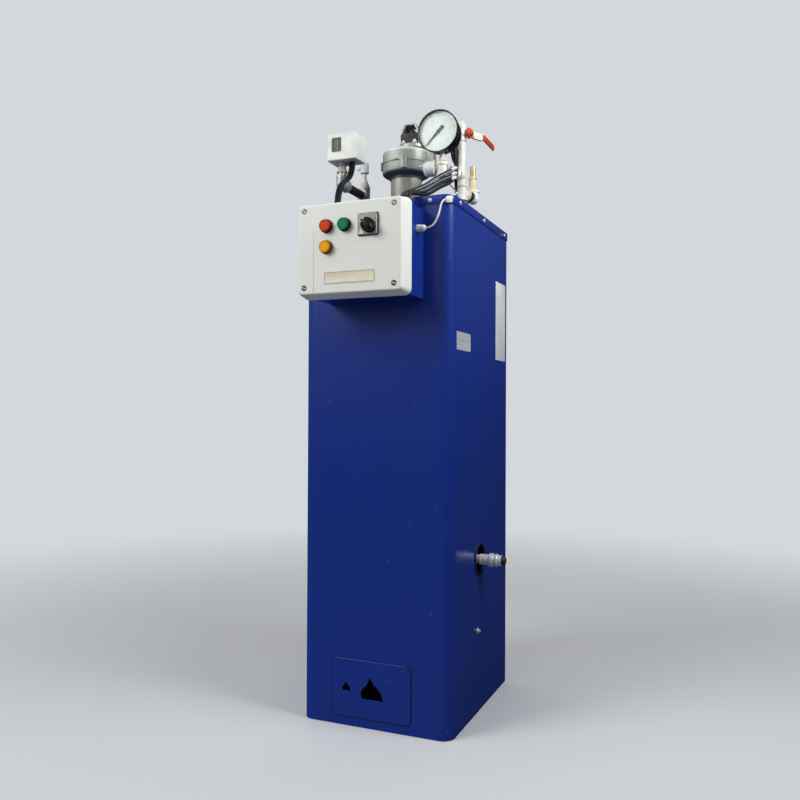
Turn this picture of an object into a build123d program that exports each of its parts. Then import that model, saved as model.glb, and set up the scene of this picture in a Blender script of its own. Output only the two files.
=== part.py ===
from build123d import *
import math
import os

os.makedirs("parts", exist_ok=True)

on_base = (Align.CENTER, Align.CENTER, Align.MIN)
from_front = (Align.CENTER, Align.MIN)

# Cabinet
cabinet_width = 370
cabinet_depth = 440
cabinet_height = 1200
sheet = 2
corner_radius = 28
lid_flange = 25
base_sheet = 3
jacket_height = cabinet_height - sheet
front_y = -cabinet_depth / 2
inner_width = cabinet_width - 2 * sheet
inner_depth = cabinet_depth - 2 * sheet

# Burner cover and its flame shaped sight holes
cover_x = -8
cover_lift = 22
cover_width = 196
cover_height = 130
cover_sheet = 2
cover_corner = 10
cover_overlap = 15
flame_inset = 75
flame_lift = 44
flame_width = 55
flame_height = 54
small_flame_inset = 28
small_flame_lift = 58
small_flame_width = 21
small_flame_height = 23
flame_arc_shares = [
    ((0.05, 0), (0, 0.3), (0.16, 0.5)),
    ((0.16, 0.5), (0.3, 0.7), (0.4, 1)),
    ((0.4, 1), (0.51, 0.74), (0.7, 0.56)),
    ((0.7, 0.56), (0.89, 0.33), (1, 0)),
]
cover_z = cover_lift + cover_height / 2
cover_left = cover_x - cover_width / 2
flame_boxes = [
    (cover_left + flame_inset, cover_lift + flame_lift, flame_width, flame_height),
    (cover_left + small_flame_inset, cover_lift + small_flame_lift, small_flame_width, small_flame_height),
]

# Boiler drum, its legs and the burner under it
drum_x = -8
drum_y = -20
drum_side_gap = 15
drum_bottom = 260
drum_headroom = 50
drum_wall = 6
drum_plate = 8
leg_size = 30
leg_circle_share = 0.85
leg_count = 4
leg_turn = 45
burner_foot_radius = 42
burner_foot_height = 10
burner_stem_radius = 17
burner_stem_height = 87
burner_head_radius = 72
burner_head_height = 22
drum_radius = inner_width / 2 + drum_x - drum_side_gap
drum_top = cabinet_height - drum_headroom

# Control unit
housing_width = 234
housing_depth = 78
housing_height = 197
housing_drop = 32
enclosure_width = 232
enclosure_height = 190
enclosure_drop = 3
enclosure_wall = 3
enclosure_face = 6
enclosure_corner = 9
enclosure_edge = 4
lid_width = 257
lid_height = 207
lid_corner = 14
lid_taper = 10.4
base_part_depth = 24
base_flange = 4
lid_part_depth = 38
housing_top = cabinet_height - housing_drop
housing_z = housing_top - housing_height / 2
housing_front_y = front_y - housing_depth
enclosure_z = housing_top - enclosure_drop - enclosure_height / 2
seam_y = housing_front_y - base_part_depth
panel_y = seam_y - lid_part_depth

# Lamps and selector on the enclosure lid
lamp_hole_radius = 11
lamp_bezel_radius = 14.8
lamp_bezel_length = 4.5
lamp_lens_radius = 13
lamp_lens_length = 7.5
lamp_lens_edge = 2
left_lamp_x = -51.5
lamp_column_pitch = 43.2
lamp_row_pitch = 45
upper_lamp_rise = 47.5
selector_x = 47
selector_rise = 44
selector_plate_width = 46
selector_plate_depth = 7
selector_plate_corner = 4
selector_shaft_radius = 5
selector_shaft_gap = 0.5
selector_face_gap = 1.5
knob_length = 40
knob_width = 29
knob_depth = 8
knob_grip_width = 13
knob_grip_depth = 12
knob_grip_edge = 2
knob_angle = -45
right_lamp_x = left_lamp_x + lamp_column_pitch
upper_lamp_z = enclosure_z + upper_lamp_rise
lower_lamp_z = upper_lamp_z - lamp_row_pitch
lamp_places = [(left_lamp_x, upper_lamp_z), (right_lamp_x, upper_lamp_z), (left_lamp_x, lower_lamp_z)]
selector_z = enclosure_z + selector_rise

# Flue pipe and draught fan
flue_radius = 39
flue_wall = 3
collar_rise = 88
collar_length = 16
collar_wall = 4.5
cone_length = 28
casing_radius = 60
casing_wall = 4
casing_lower_height = 28
casing_upper_height = 33
casing_shoulder_height = 10
casing_shoulder_width = 10
lug_radius = 6
lug_reach_share = 0.99
lug_turn = 15
lug_count = 4
motor_offset = 16
motor_plate_radius = 32
motor_plate_depth = 8
motor_length = 46
motor_width = 42
motor_height = 27
motor_strap_height = 25
motor_strap_top_length = 24
motor_strap_sheet = 4
motor_bearing_radius = 8
motor_bearing_height = 12
collar_radius = flue_radius + collar_wall
collar_bottom = cabinet_height + collar_rise
flue_top = collar_bottom + collar_length
casing_bottom = collar_bottom + cone_length
casing_split = casing_bottom + casing_lower_height
casing_top = casing_split + casing_upper_height
casing_shoulder = casing_top - casing_shoulder_height
casing_top_radius = casing_radius - casing_shoulder_width
motor_x = drum_x + motor_offset
motor_bottom = casing_top + motor_plate_depth
motor_top = motor_bottom + motor_height

# Half inch pipe work
pipe_radius = 10.65
pipe_wall = 2.6
fitting_radius = 14.5
branch_radius = 13.5
bead_radius = 16.5
bead_length = 5
tee_reach = 19
branch_reach = 24
elbow_reach = 20

# Pressure gauge carried by the stand pipe
gauge_inset = 70
gauge_stem_reach = 76
gauge_face_reach = 34
gauge_tee_rise = 76
gauge_tee_height = 34
gauge_branch_lift = 23
gauge_branch_radius = 11
gauge_socket_length = 17
gauge_stem_radius = 7
gauge_stem_length = 16
gauge_radius = 50
gauge_depth = 45
gauge_wall = 2.5
gauge_dial_setback = 8
gauge_dial_sheet = 1
gauge_glass_setback = 2
gauge_glass_sheet = 2
plug_reach = 16
plug_length = 29
plug_radius = 19
plug_dome = 11
spigot_radius = 3
spigot_length = 12
spigot_rise = 8
needle_length = 42
needle_tail = 17
needle_tail_width = 8
needle_tip_width = 1
needle_sheet = 1
needle_angle = 225
needle_hub_radius = 4
gauge_x = cabinet_width / 2 - gauge_inset
gauge_stem_y = drum_y - gauge_stem_reach
gauge_face_y = gauge_stem_y - gauge_face_reach
gauge_tee_bottom = cabinet_height + gauge_tee_rise
gauge_tee_top = gauge_tee_bottom + gauge_tee_height
gauge_branch_z = gauge_tee_bottom + gauge_branch_lift
gauge_z = gauge_tee_top + gauge_stem_length + gauge_radius
plug_x = gauge_x - plug_reach
dial_y = gauge_face_y + gauge_dial_setback

# Stand pipe with ball valve and outlet
stand_inset = 51
stand_shift = 8
stand_tee_rise = 57
stand_length = 108
branch_turn = 9
valve_radius = 13
valve_half_length = 18
valve_ball_radius = 15
valve_tail = 13
valve_tail_round = 6
stem_radius = 4.5
stem_gap = 0.4
hub_radius = 13
hub_gap = 2
hub_thickness = 6
lever_sheet = 4
lever_height = 15
lever_reach = 132
lever_neck_reach = 52
lever_kick_reach = 14
lever_offset = 22
outlet_run = 64
outlet_radius = 10
outlet_length = 34
outlet_ring_radius = 12.5
outlet_ring_length = 4
nozzle_radius = 7.5
nozzle_bore_radius = 5
nozzle_length = 26
stand_x = cabinet_width / 2 - stand_inset
stand_y = drum_y + stand_shift
stand_tee_z = cabinet_height + stand_tee_rise
valve_z = stand_tee_z + tee_reach + stand_length + valve_half_length
hub_start_x = stand_x + valve_ball_radius + hub_gap
hub_stop_x = hub_start_x + hub_thickness
lever_x = hub_stop_x - lever_sheet / 2

# Pressure switch on its riser
switch_inset = 39
switch_shift = 45
switch_run = 129
switch_rise = 84
switch_box_offset = 10
switch_box_shift = 2.5
switch_box_width = 80
switch_box_depth = 57
switch_box_height = 66
switch_box_edge = 3
neck_pipe_length = 8
neck_cone_radius = 14
neck_cone_length = 14
neck_socket_radius = 9
neck_socket_length = 11
vent_flange_radius = 15
vent_flange_length = 5
vent_cone_length = 23
vent_neck_radius = 5.5
vent_neck_length = 15
vent_head_radius = 11
vent_head_length = 25
vent_stub_radius = 4
vent_stub_reach = 19
switch_x = switch_inset - cabinet_width / 2
switch_tee_y = drum_y + switch_shift
switch_axis_y = switch_tee_y - switch_run
switch_run_z = cabinet_height + switch_rise
switch_tee_bottom = switch_run_z - tee_reach
switch_tee_top = switch_run_z + tee_reach
neck_cone_bottom = switch_run_z + elbow_reach + neck_pipe_length
neck_socket_bottom = neck_cone_bottom + neck_cone_length
switch_box_bottom = neck_socket_bottom + neck_socket_length
vent_neck_bottom = switch_tee_top + vent_flange_length + vent_cone_length
vent_head_bottom = vent_neck_bottom + vent_neck_length

# Feed nozzle on the right side
feed_shift = 6
feed_z = 365
feed_radius = 13.4
feed_wall = 3
feed_reach = 65
rim_radius = 39
rim_width = 4
rim_depth = 3
union_gap = 15
union_radius = 21
union_length = 18
ring_gap = 10
ring_radius = 17.5
ring_length = 9
feed_y = drum_y + feed_shift
feed_end_x = cabinet_width / 2 + feed_reach
union_start_x = cabinet_width / 2 + union_gap
ring_start_x = union_start_x + union_length + ring_gap

# Cables and their glands
cable_radius = 3.75
cable_gap = 1
gland_radius = 12
wide_gland_radius = 15
gland_height = 17
left_gland_x = -78
right_gland_x = 88
side_gland_drop = 48
side_gland_radius = 9
side_gland_length = 23
grommet_radius = 7
grommet_height = 8
switch_cable_offset = 27.6
switch_cable_bend = 40
switch_cable_rise = 51
switch_cable_drop = 39
strand_rise = 14
strand_pass_offset = 25
strand_pass_reach = 12
strand_pass_lift = 8
strand_tie_inset = 10
strand_tie_reach = 50
strand_tie_rise = 130
strand_turn_rise = 152
strand_turn_step = 15
strand_lead = 40
strand_bend = 16
sag_offset = 30
sag_reach = 50
sag_rise = 20
drop_offset = 8
drop_reach = 60
drop_rise = 90
motor_entry_pitch = 11
signal_radius = 2
signal_bend = 14
signal_exit_bend = 10
signal_lead = 20
signal_bend_count = 4
signal_rise = 16
signal_far_reach = 38
signal_far_rise = 43
signal_end_offset = 22
signal_end_reach = 88
clip_turn = 35
clip_width = 14
clip_depth = 8
clip_height = 14
clip_drop = 20
cable_pitch = 2 * cable_radius + cable_gap
gland_y = front_y - housing_depth / 2
gland_top = housing_top + gland_height
side_gland_z = housing_top - side_gland_drop
side_gland_end = housing_width / 2 + side_gland_length
grommet_top = cabinet_height + grommet_height
strand_tie_x = stand_x - strand_tie_inset
strand_tie_y = stand_y - strand_tie_reach
drop_x = stand_x + drop_offset
drop_y = stand_y - drop_reach
signal_end_x = stand_x + signal_end_offset
signal_end_y = stand_y - signal_end_reach
clip_reach = corner_radius + sheet + clip_depth / 2
clip_x = cabinet_width / 2 - corner_radius + clip_reach * math.sin(math.radians(clip_turn))
clip_y = front_y + corner_radius - clip_reach * math.cos(math.radians(clip_turn))

# Base pan
with BuildPart() as base_pan:
    with BuildSketch(Plane.XY):
        RectangleRounded(inner_width, inner_depth, corner_radius - sheet)
        with Locations((0, inner_depth / 4)):
            Rectangle(inner_width, inner_depth / 2)
    extrude(amount=base_sheet)
base_pan.part.label = "base_pan"
export_step(base_pan.part, "parts/base_pan.step")

# Front panel with its two corner bends and the burner opening
with BuildPart() as front_panel:
    with BuildSketch(Plane.XY):
        RectangleRounded(cabinet_width, cabinet_depth, corner_radius)
        RectangleRounded(inner_width, inner_depth, corner_radius - sheet, mode=Mode.SUBTRACT)
        with Locations((0, front_y)):
            Rectangle(cabinet_width, corner_radius, align=from_front, mode=Mode.INTERSECT)
    extrude(amount=jacket_height)
    with BuildSketch(Plane.XZ.offset(-front_y)):
        with Locations((cover_x, cover_z)):
            Rectangle(cover_width - 2 * cover_overlap, cover_height - 2 * cover_overlap)
    extrude(amount=-sheet, mode=Mode.SUBTRACT)
front_panel.part.label = "front_panel"
export_step(front_panel.part, "parts/front_panel.step")

# Side panels, flush with the ends of the corner bends
side_length = cabinet_depth - corner_radius
side_y = corner_radius / 2
with BuildPart() as right_panel:
    with Locations((inner_width / 2 + sheet / 2, side_y, 0)):
        Box(sheet, side_length, jacket_height, align=on_base)
    with BuildSketch(Plane.YZ.offset(inner_width / 2)):
        with Locations((feed_y, feed_z)):
            Circle(rim_radius - rim_width)
    extrude(amount=sheet, mode=Mode.SUBTRACT)
right_panel.part.label = "right_panel"
export_step(right_panel.part, "parts/right_panel.step")

with BuildPart() as left_panel:
    with Locations((-inner_width / 2 - sheet / 2, side_y, 0)):
        Box(sheet, side_length, jacket_height, align=on_base)
left_panel.part.label = "left_panel"
export_step(left_panel.part, "parts/left_panel.step")

# Back panel between the side panels
with BuildPart() as back_panel:
    with Locations((0, cabinet_depth / 2 - sheet / 2, 0)):
        Box(inner_width, sheet, jacket_height, align=on_base)
back_panel.part.label = "back_panel"
export_step(back_panel.part, "parts/back_panel.step")

# Lid with its flange turned down over the panels
with BuildPart() as top_lid:
    with BuildSketch(Plane.XY.offset(cabinet_height - lid_flange)):
        with Locations((0, corner_radius / 2)):
            Rectangle(cabinet_width + 2 * sheet, side_length + 2 * sheet)
        RectangleRounded(cabinet_width + 2 * sheet, cabinet_depth + 2 * sheet, corner_radius + sheet)
    extrude(amount=lid_flange)
    with BuildSketch(Plane.XY.offset(cabinet_height - lid_flange)):
        with Locations((0, corner_radius / 2)):
            Rectangle(cabinet_width, side_length)
        RectangleRounded(cabinet_width, cabinet_depth, corner_radius)
    extrude(amount=lid_flange - sheet, mode=Mode.SUBTRACT)
    with BuildSketch(Plane.XY.offset(jacket_height)):
        with Locations((drum_x, drum_y)):
            Circle(flue_radius)
        with Locations((stand_x, stand_y), (switch_x, switch_tee_y)):
            Circle(pipe_radius)
    extrude(amount=sheet, mode=Mode.SUBTRACT)
top_lid.part.label = "top_lid"
export_step(top_lid.part, "parts/top_lid.step")

# Burner cover on the front panel, with the two flame shaped sight holes
with BuildPart() as burner_cover:
    with BuildSketch(Plane.XZ.offset(-front_y)):
        with Locations((cover_x, cover_z)):
            RectangleRounded(cover_width, cover_height, cover_corner)
    extrude(amount=cover_sheet)
    with BuildSketch(Plane.XZ.offset(-front_y)):
        for x, z, width, height in flame_boxes:
            with BuildLine():
                for start, middle, end in flame_arc_shares:
                    ThreePointArc(
                        (x + start[0] * width, z + start[1] * height),
                        (x + middle[0] * width, z + middle[1] * height),
                        (x + end[0] * width, z + end[1] * height),
                    )
                Line((x + flame_arc_shares[-1][2][0] * width, z), (x + flame_arc_shares[0][0][0] * width, z))
            make_face()
    extrude(amount=cover_sheet, mode=Mode.SUBTRACT)
burner_cover.part.label = "burner_cover"
export_step(burner_cover.part, "parts/burner_cover.step")

# Burner on the base pan
with BuildPart() as burner:
    with Locations((drum_x, drum_y, base_sheet)):
        Cylinder(burner_foot_radius, burner_foot_height, align=on_base)
        Cylinder(burner_stem_radius, burner_stem_height, align=on_base)
    with Locations((drum_x, drum_y, base_sheet + burner_stem_height)):
        Cone(burner_stem_radius, burner_head_radius, burner_head_height, align=on_base)
burner.part.label = "burner"
export_step(burner.part, "parts/burner.step")

# Boiler drum, a ring of water space round a fire tube, with the feed hole in its wall
with BuildPart() as boiler_drum:
    with BuildSketch(Plane.XY.offset(drum_bottom)):
        with Locations((drum_x, drum_y)):
            Circle(drum_radius)
            Circle(flue_radius - flue_wall, mode=Mode.SUBTRACT)
    extrude(amount=drum_top - drum_bottom)
    with BuildSketch(Plane.XY.offset(drum_bottom + drum_plate)):
        with Locations((drum_x, drum_y)):
            Circle(drum_radius - drum_wall)
            Circle(flue_radius - flue_wall + drum_wall, mode=Mode.SUBTRACT)
    extrude(amount=drum_top - drum_bottom - 2 * drum_plate, mode=Mode.SUBTRACT)
    with BuildSketch(Plane.YZ.offset(drum_x + drum_radius - feed_radius)):
        with Locations((feed_y, feed_z)):
            Circle(feed_radius)
    extrude(amount=feed_radius, mode=Mode.SUBTRACT)
boiler_drum.part.label = "boiler_drum"
export_step(boiler_drum.part, "parts/boiler_drum.step")

# Legs that carry the drum
with BuildPart() as drum_legs:
    with Locations((drum_x, drum_y, base_sheet)):
        with PolarLocations(drum_radius * leg_circle_share, leg_count, start_angle=leg_turn):
            Box(leg_size, leg_size, drum_bottom - base_sheet, align=on_base)
drum_legs.part.label = "drum_legs"
export_step(drum_legs.part, "parts/drum_legs.step")

# Steel housing that holds the control enclosure off the hot front
with BuildPart() as control_housing:
    with BuildSketch(Plane.XZ.offset(-front_y)):
        with Locations((0, housing_z)):
            Rectangle(housing_width, housing_height)
    extrude(amount=housing_depth)
    with BuildSketch(Plane.XZ.offset(-front_y)):
        with Locations((0, housing_z)):
            Rectangle(housing_width - 2 * sheet, housing_height - 2 * sheet)
    extrude(amount=housing_depth - sheet, mode=Mode.SUBTRACT)
control_housing.part.label = "control_housing"
export_step(control_housing.part, "parts/control_housing.step")

# Rear tray of the plastic enclosure, with a flange that carries the wider lid
with BuildPart() as control_base:
    with BuildSketch(Plane.XZ.offset(-housing_front_y)):
        with Locations((0, enclosure_z)):
            RectangleRounded(enclosure_width, enclosure_height, enclosure_corner)
    extrude(amount=base_part_depth)
    with BuildSketch(Plane.XZ.offset(-seam_y - base_flange)):
        with Locations((0, enclosure_z)):
            RectangleRounded(lid_width, lid_height, lid_corner)
    extrude(amount=base_flange)
    with BuildSketch(Plane.XZ.offset(-housing_front_y + enclosure_wall)):
        with Locations((0, enclosure_z)):
            RectangleRounded(
                enclosure_width - 2 * enclosure_wall,
                enclosure_height - 2 * enclosure_wall,
                enclosure_corner - enclosure_wall,
            )
    extrude(amount=base_part_depth - enclosure_wall, mode=Mode.SUBTRACT)
control_base.part.label = "control_base"
export_step(control_base.part, "parts/control_base.step")

# Front lid of the plastic enclosure, drawn in towards its face, with holes for the lamps and the selector
with BuildPart() as control_lid:
    with BuildSketch(Plane.XZ.offset(-seam_y)):
        with Locations((0, enclosure_z)):
            RectangleRounded(lid_width, lid_height, lid_corner)
    extrude(amount=lid_part_depth, taper=lid_taper)
    fillet(control_lid.faces().sort_by(Axis.Y)[0].edges(), enclosure_edge)
    with BuildSketch(Plane.XZ.offset(-seam_y)):
        with Locations((0, enclosure_z)):
            RectangleRounded(
                lid_width - 2 * enclosure_wall,
                lid_height - 2 * enclosure_wall,
                lid_corner - enclosure_wall,
            )
    extrude(amount=lid_part_depth - enclosure_face, taper=lid_taper, mode=Mode.SUBTRACT)
    with BuildSketch(Plane.XZ.offset(-seam_y)):
        with Locations(*lamp_places):
            Circle(lamp_hole_radius)
        with Locations((selector_x, selector_z)):
            Circle(selector_shaft_radius + selector_shaft_gap)
    extrude(amount=lid_part_depth, mode=Mode.SUBTRACT)
control_lid.part.label = "control_lid"
export_step(control_lid.part, "parts/control_lid.step")

# Pilot lamps, each a shank through the lid with a bezel and a lens in front
with BuildPart() as red_lamp:
    with BuildSketch(Plane.XZ.offset(-panel_y)):
        with Locations((left_lamp_x, upper_lamp_z)):
            Circle(lamp_bezel_radius)
    extrude(amount=lamp_bezel_length)
    with BuildSketch(Plane.XZ.offset(-panel_y - enclosure_face)):
        with Locations((left_lamp_x, upper_lamp_z)):
            Circle(lamp_hole_radius)
    extrude(amount=enclosure_face)
    with BuildSketch(Plane.XZ.offset(-panel_y + lamp_bezel_length)):
        with Locations((left_lamp_x, upper_lamp_z)):
            Circle(lamp_lens_radius)
    extrude(amount=lamp_lens_length)
    fillet(red_lamp.faces().sort_by(Axis.Y)[0].edges(), lamp_lens_edge)
red_lamp.part.label = "red_lamp"
export_step(red_lamp.part, "parts/red_lamp.step")

with BuildPart() as green_lamp:
    with Locations((right_lamp_x - left_lamp_x, 0, 0)):
        add(red_lamp.part)
green_lamp.part.label = "green_lamp"
export_step(green_lamp.part, "parts/green_lamp.step")

with BuildPart() as amber_lamp:
    with Locations((0, 0, lower_lamp_z - upper_lamp_z)):
        add(red_lamp.part)
amber_lamp.part.label = "amber_lamp"
export_step(amber_lamp.part, "parts/amber_lamp.step")

# Square plate of the selector
with BuildPart() as selector_plate_part:
    with BuildSketch(Plane.XZ.offset(-panel_y)):
        with Locations((selector_x, selector_z)):
            RectangleRounded(selector_plate_width, selector_plate_width, selector_plate_corner)
            Circle(selector_shaft_radius + selector_shaft_gap, mode=Mode.SUBTRACT)
    extrude(amount=selector_plate_depth)
selector_plate_part.part.label = "selector_plate"
export_step(selector_plate_part.part, "parts/selector_plate.step")

# Selector knob on its shaft, a long round body with a bar grip
knob_y = panel_y - selector_plate_depth - selector_face_gap
with BuildPart() as selector_knob:
    with BuildSketch(Plane.XZ.offset(-knob_y)):
        with Locations(Location((selector_x, selector_z), knob_angle)):
            SlotOverall(knob_length, knob_width)
    extrude(amount=knob_depth)
    with BuildSketch(Plane.XZ.offset(-knob_y + knob_depth)):
        with Locations(Location((selector_x, selector_z), knob_angle)):
            SlotOverall(knob_length, knob_grip_width)
    extrude(amount=knob_grip_depth)
    fillet(selector_knob.faces().sort_by(Axis.Y)[0].edges(), knob_grip_edge)
    with BuildSketch(Plane.XZ.offset(-panel_y - enclosure_face)):
        with Locations((selector_x, selector_z)):
            Circle(selector_shaft_radius)
    extrude(amount=enclosure_face + selector_plate_depth + selector_face_gap)
selector_knob.part.label = "selector_knob"
export_step(selector_knob.part, "parts/selector_knob.step")

# Flue pipe on the drum
with BuildPart() as flue_pipe:
    with BuildSketch(Plane.XY.offset(drum_top)):
        with Locations((drum_x, drum_y)):
            Circle(flue_radius)
            Circle(flue_radius - flue_wall, mode=Mode.SUBTRACT)
    extrude(amount=flue_top - drum_top)
flue_pipe.part.label = "flue_pipe"
export_step(flue_pipe.part, "parts/flue_pipe.step")

# Lower casing of the fan, with its collar round the flue pipe
with BuildPart() as fan_lower_casing:
    with BuildSketch(Plane.XZ.offset(-drum_y)):
        with BuildLine():
            Polyline(
                (drum_x + flue_radius, collar_bottom),
                (drum_x + collar_radius, collar_bottom),
                (drum_x + casing_radius - casing_wall, casing_bottom),
                (drum_x + casing_radius, casing_bottom + casing_wall),
                (drum_x + casing_radius, casing_split),
                (drum_x + casing_radius - casing_wall, casing_split),
                (drum_x + casing_radius - casing_wall, casing_bottom + casing_wall),
                (drum_x + flue_radius, flue_top),
                close=True,
            )
        make_face()
    revolve(axis=Axis((drum_x, drum_y, 0), (0, 0, 1)))
    with BuildSketch(Plane.XY.offset(casing_bottom + casing_wall)):
        with Locations((drum_x, drum_y)):
            with PolarLocations(casing_radius * lug_reach_share, lug_count, start_angle=lug_turn):
                Circle(lug_radius)
            Circle(casing_radius - casing_wall, mode=Mode.SUBTRACT)
    extrude(amount=casing_split - casing_bottom - casing_wall)
fan_lower_casing.part.label = "fan_lower_casing"
export_step(fan_lower_casing.part, "parts/fan_lower_casing.step")

# Upper casing of the fan
with BuildPart() as fan_upper_casing:
    with BuildSketch(Plane.XZ.offset(-drum_y)):
        with BuildLine():
            Polyline(
                (drum_x, casing_top),
                (drum_x + casing_top_radius, casing_top),
                (drum_x + casing_radius, casing_shoulder),
                (drum_x + casing_radius, casing_split),
                (drum_x + casing_radius - casing_wall, casing_split),
                (drum_x + casing_radius - casing_wall, casing_shoulder),
                (drum_x + casing_top_radius - casing_wall, casing_top - casing_wall),
                (drum_x, casing_top - casing_wall),
                close=True,
            )
        make_face()
    revolve(axis=Axis((drum_x, drum_y, 0), (0, 0, 1)))
    with BuildSketch(Plane.XY.offset(casing_split)):
        with Locations((drum_x, drum_y)):
            with PolarLocations(casing_radius * lug_reach_share, lug_count, start_angle=lug_turn):
                Circle(lug_radius)
            Circle(casing_radius - casing_wall, mode=Mode.SUBTRACT)
    extrude(amount=casing_shoulder - casing_split - casing_wall)
fan_upper_casing.part.label = "fan_upper_casing"
export_step(fan_upper_casing.part, "parts/fan_upper_casing.step")

# Mounting plate of the fan motor, and the strap bent over its core
strap_foot = motor_length / 2
strap_top = motor_strap_top_length / 2
strap_top_z = motor_top + motor_strap_height
with BuildPart() as motor_frame:
    with Locations((motor_x, drum_y, casing_top)):
        Cylinder(motor_plate_radius, motor_plate_depth, align=on_base)
    with BuildSketch(Plane.XZ.offset(motor_width / 2 - drum_y)):
        with BuildLine():
            Polyline(
                (motor_x - strap_foot, motor_top),
                (motor_x - strap_top, strap_top_z),
                (motor_x + strap_top, strap_top_z),
                (motor_x + strap_foot, motor_top),
                (motor_x + strap_foot - motor_strap_sheet, motor_top),
                (motor_x + strap_top - motor_strap_sheet, strap_top_z - motor_strap_sheet),
                (motor_x - strap_top + motor_strap_sheet, strap_top_z - motor_strap_sheet),
                (motor_x - strap_foot + motor_strap_sheet, motor_top),
                close=True,
            )
        make_face()
    extrude(amount=-motor_width)
motor_frame.part.label = "motor_frame"
export_step(motor_frame.part, "parts/motor_frame.step")

# Core of the fan motor, with the upper bearing under the strap
with BuildPart() as fan_motor:
    with Locations((motor_x, drum_y, motor_bottom)):
        Box(motor_length, motor_width, motor_height, align=on_base)
    with Locations((motor_x, drum_y, motor_top)):
        Cylinder(motor_bearing_radius, motor_bearing_height, align=on_base)
fan_motor.part.label = "fan_motor"
export_step(fan_motor.part, "parts/fan_motor.step")

# Nipple from a socket on the stand pipe to the tee under the gauge
nipple_run = (gauge_x - stand_x, gauge_stem_y - stand_y)
nipple_plane = Plane(origin=(stand_x, stand_y, gauge_branch_z), z_dir=(*nipple_run, 0))
with BuildPart() as gauge_nipple:
    with BuildSketch(nipple_plane):
        Circle(pipe_radius)
    extrude(amount=math.hypot(*nipple_run))
    with BuildSketch(nipple_plane):
        Circle(branch_radius)
    extrude(amount=gauge_socket_length)
    with BuildSketch(nipple_plane):
        Circle(pipe_radius - pipe_wall)
    extrude(amount=math.hypot(*nipple_run), mode=Mode.SUBTRACT)
    with Locations((stand_x, stand_y, gauge_branch_z)):
        Cylinder(pipe_radius, 2 * bead_radius, mode=Mode.SUBTRACT)
    with Locations((gauge_x, gauge_stem_y, gauge_branch_z)):
        Cylinder(fitting_radius, 2 * bead_radius, mode=Mode.SUBTRACT)
gauge_nipple.part.label = "gauge_nipple"
export_step(gauge_nipple.part, "parts/gauge_nipple.step")

# Tee under the gauge, its side branch to the left
with BuildPart() as gauge_tee:
    with Locations((gauge_x, gauge_stem_y, gauge_tee_bottom)):
        Cylinder(fitting_radius, gauge_tee_top - gauge_tee_bottom, align=on_base)
    with BuildSketch(Plane.YZ.offset(plug_x)):
        with Locations((gauge_stem_y, gauge_branch_z)):
            Circle(gauge_branch_radius)
    extrude(amount=gauge_x - plug_x)
gauge_tee.part.label = "gauge_tee"
export_step(gauge_tee.part, "parts/gauge_tee.step")

# Domed plug on the branch, with a small spigot
with BuildPart() as tee_plug:
    with BuildSketch(Plane.YZ.offset(plug_x)):
        with Locations((gauge_stem_y, gauge_branch_z)):
            Circle(plug_radius)
    extrude(amount=-plug_length)
    fillet(tee_plug.faces().sort_by(Axis.X)[0].edges(), plug_dome)
    with BuildSketch(Plane.YZ.offset(plug_x - plug_length + plug_dome)):
        with Locations((gauge_stem_y, gauge_branch_z + spigot_rise)):
            Circle(spigot_radius)
    extrude(amount=-plug_dome - spigot_length)
tee_plug.part.label = "tee_plug"
export_step(tee_plug.part, "parts/tee_plug.step")

# Gauge case with its stem, open in front
with BuildPart() as gauge_case:
    with BuildSketch(Plane.XZ.offset(-gauge_face_y - gauge_depth)):
        with Locations((gauge_x, gauge_z)):
            Circle(gauge_radius)
    extrude(amount=gauge_depth)
    with Locations((gauge_x, gauge_stem_y, gauge_tee_top)):
        Cylinder(gauge_stem_radius, gauge_z - gauge_tee_top, align=on_base)
    with BuildSketch(Plane.XZ.offset(-gauge_face_y)):
        with Locations((gauge_x, gauge_z)):
            Circle(gauge_radius - gauge_wall)
    extrude(amount=-gauge_dial_setback - gauge_dial_sheet, mode=Mode.SUBTRACT)
gauge_case.part.label = "gauge_case"
export_step(gauge_case.part, "parts/gauge_case.step")

# Dial on the floor of the case
with BuildPart() as gauge_dial:
    with BuildSketch(Plane.XZ.offset(-dial_y)):
        with Locations((gauge_x, gauge_z)):
            Circle(gauge_radius - gauge_wall)
    extrude(amount=-gauge_dial_sheet)
gauge_dial.part.label = "gauge_dial"
export_step(gauge_dial.part, "parts/gauge_dial.step")

# Needle on its hub
with BuildPart() as gauge_needle:
    with BuildSketch(Plane.XZ.offset(-dial_y)):
        with Locations((gauge_x, gauge_z)):
            Circle(needle_hub_radius)
    extrude(amount=needle_sheet)
    with BuildSketch(Plane.XZ.offset(-dial_y + needle_sheet)):
        with Locations(Location((gauge_x, gauge_z), needle_angle)):
            Polygon(
                (-needle_tail, -needle_tail_width / 2),
                (needle_length, -needle_tip_width / 2),
                (needle_length, needle_tip_width / 2),
                (-needle_tail, needle_tail_width / 2),
                align=None,
            )
            Circle(needle_hub_radius)
    extrude(amount=needle_sheet)
gauge_needle.part.label = "gauge_needle"
export_step(gauge_needle.part, "parts/gauge_needle.step")

# Glass in front of the needle
with BuildPart() as gauge_glass:
    with BuildSketch(Plane.XZ.offset(-gauge_face_y - gauge_glass_setback)):
        with Locations((gauge_x, gauge_z)):
            Circle(gauge_radius - gauge_wall)
    extrude(amount=-gauge_glass_sheet)
gauge_glass.part.label = "gauge_glass"
export_step(gauge_glass.part, "parts/gauge_glass.step")

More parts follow.
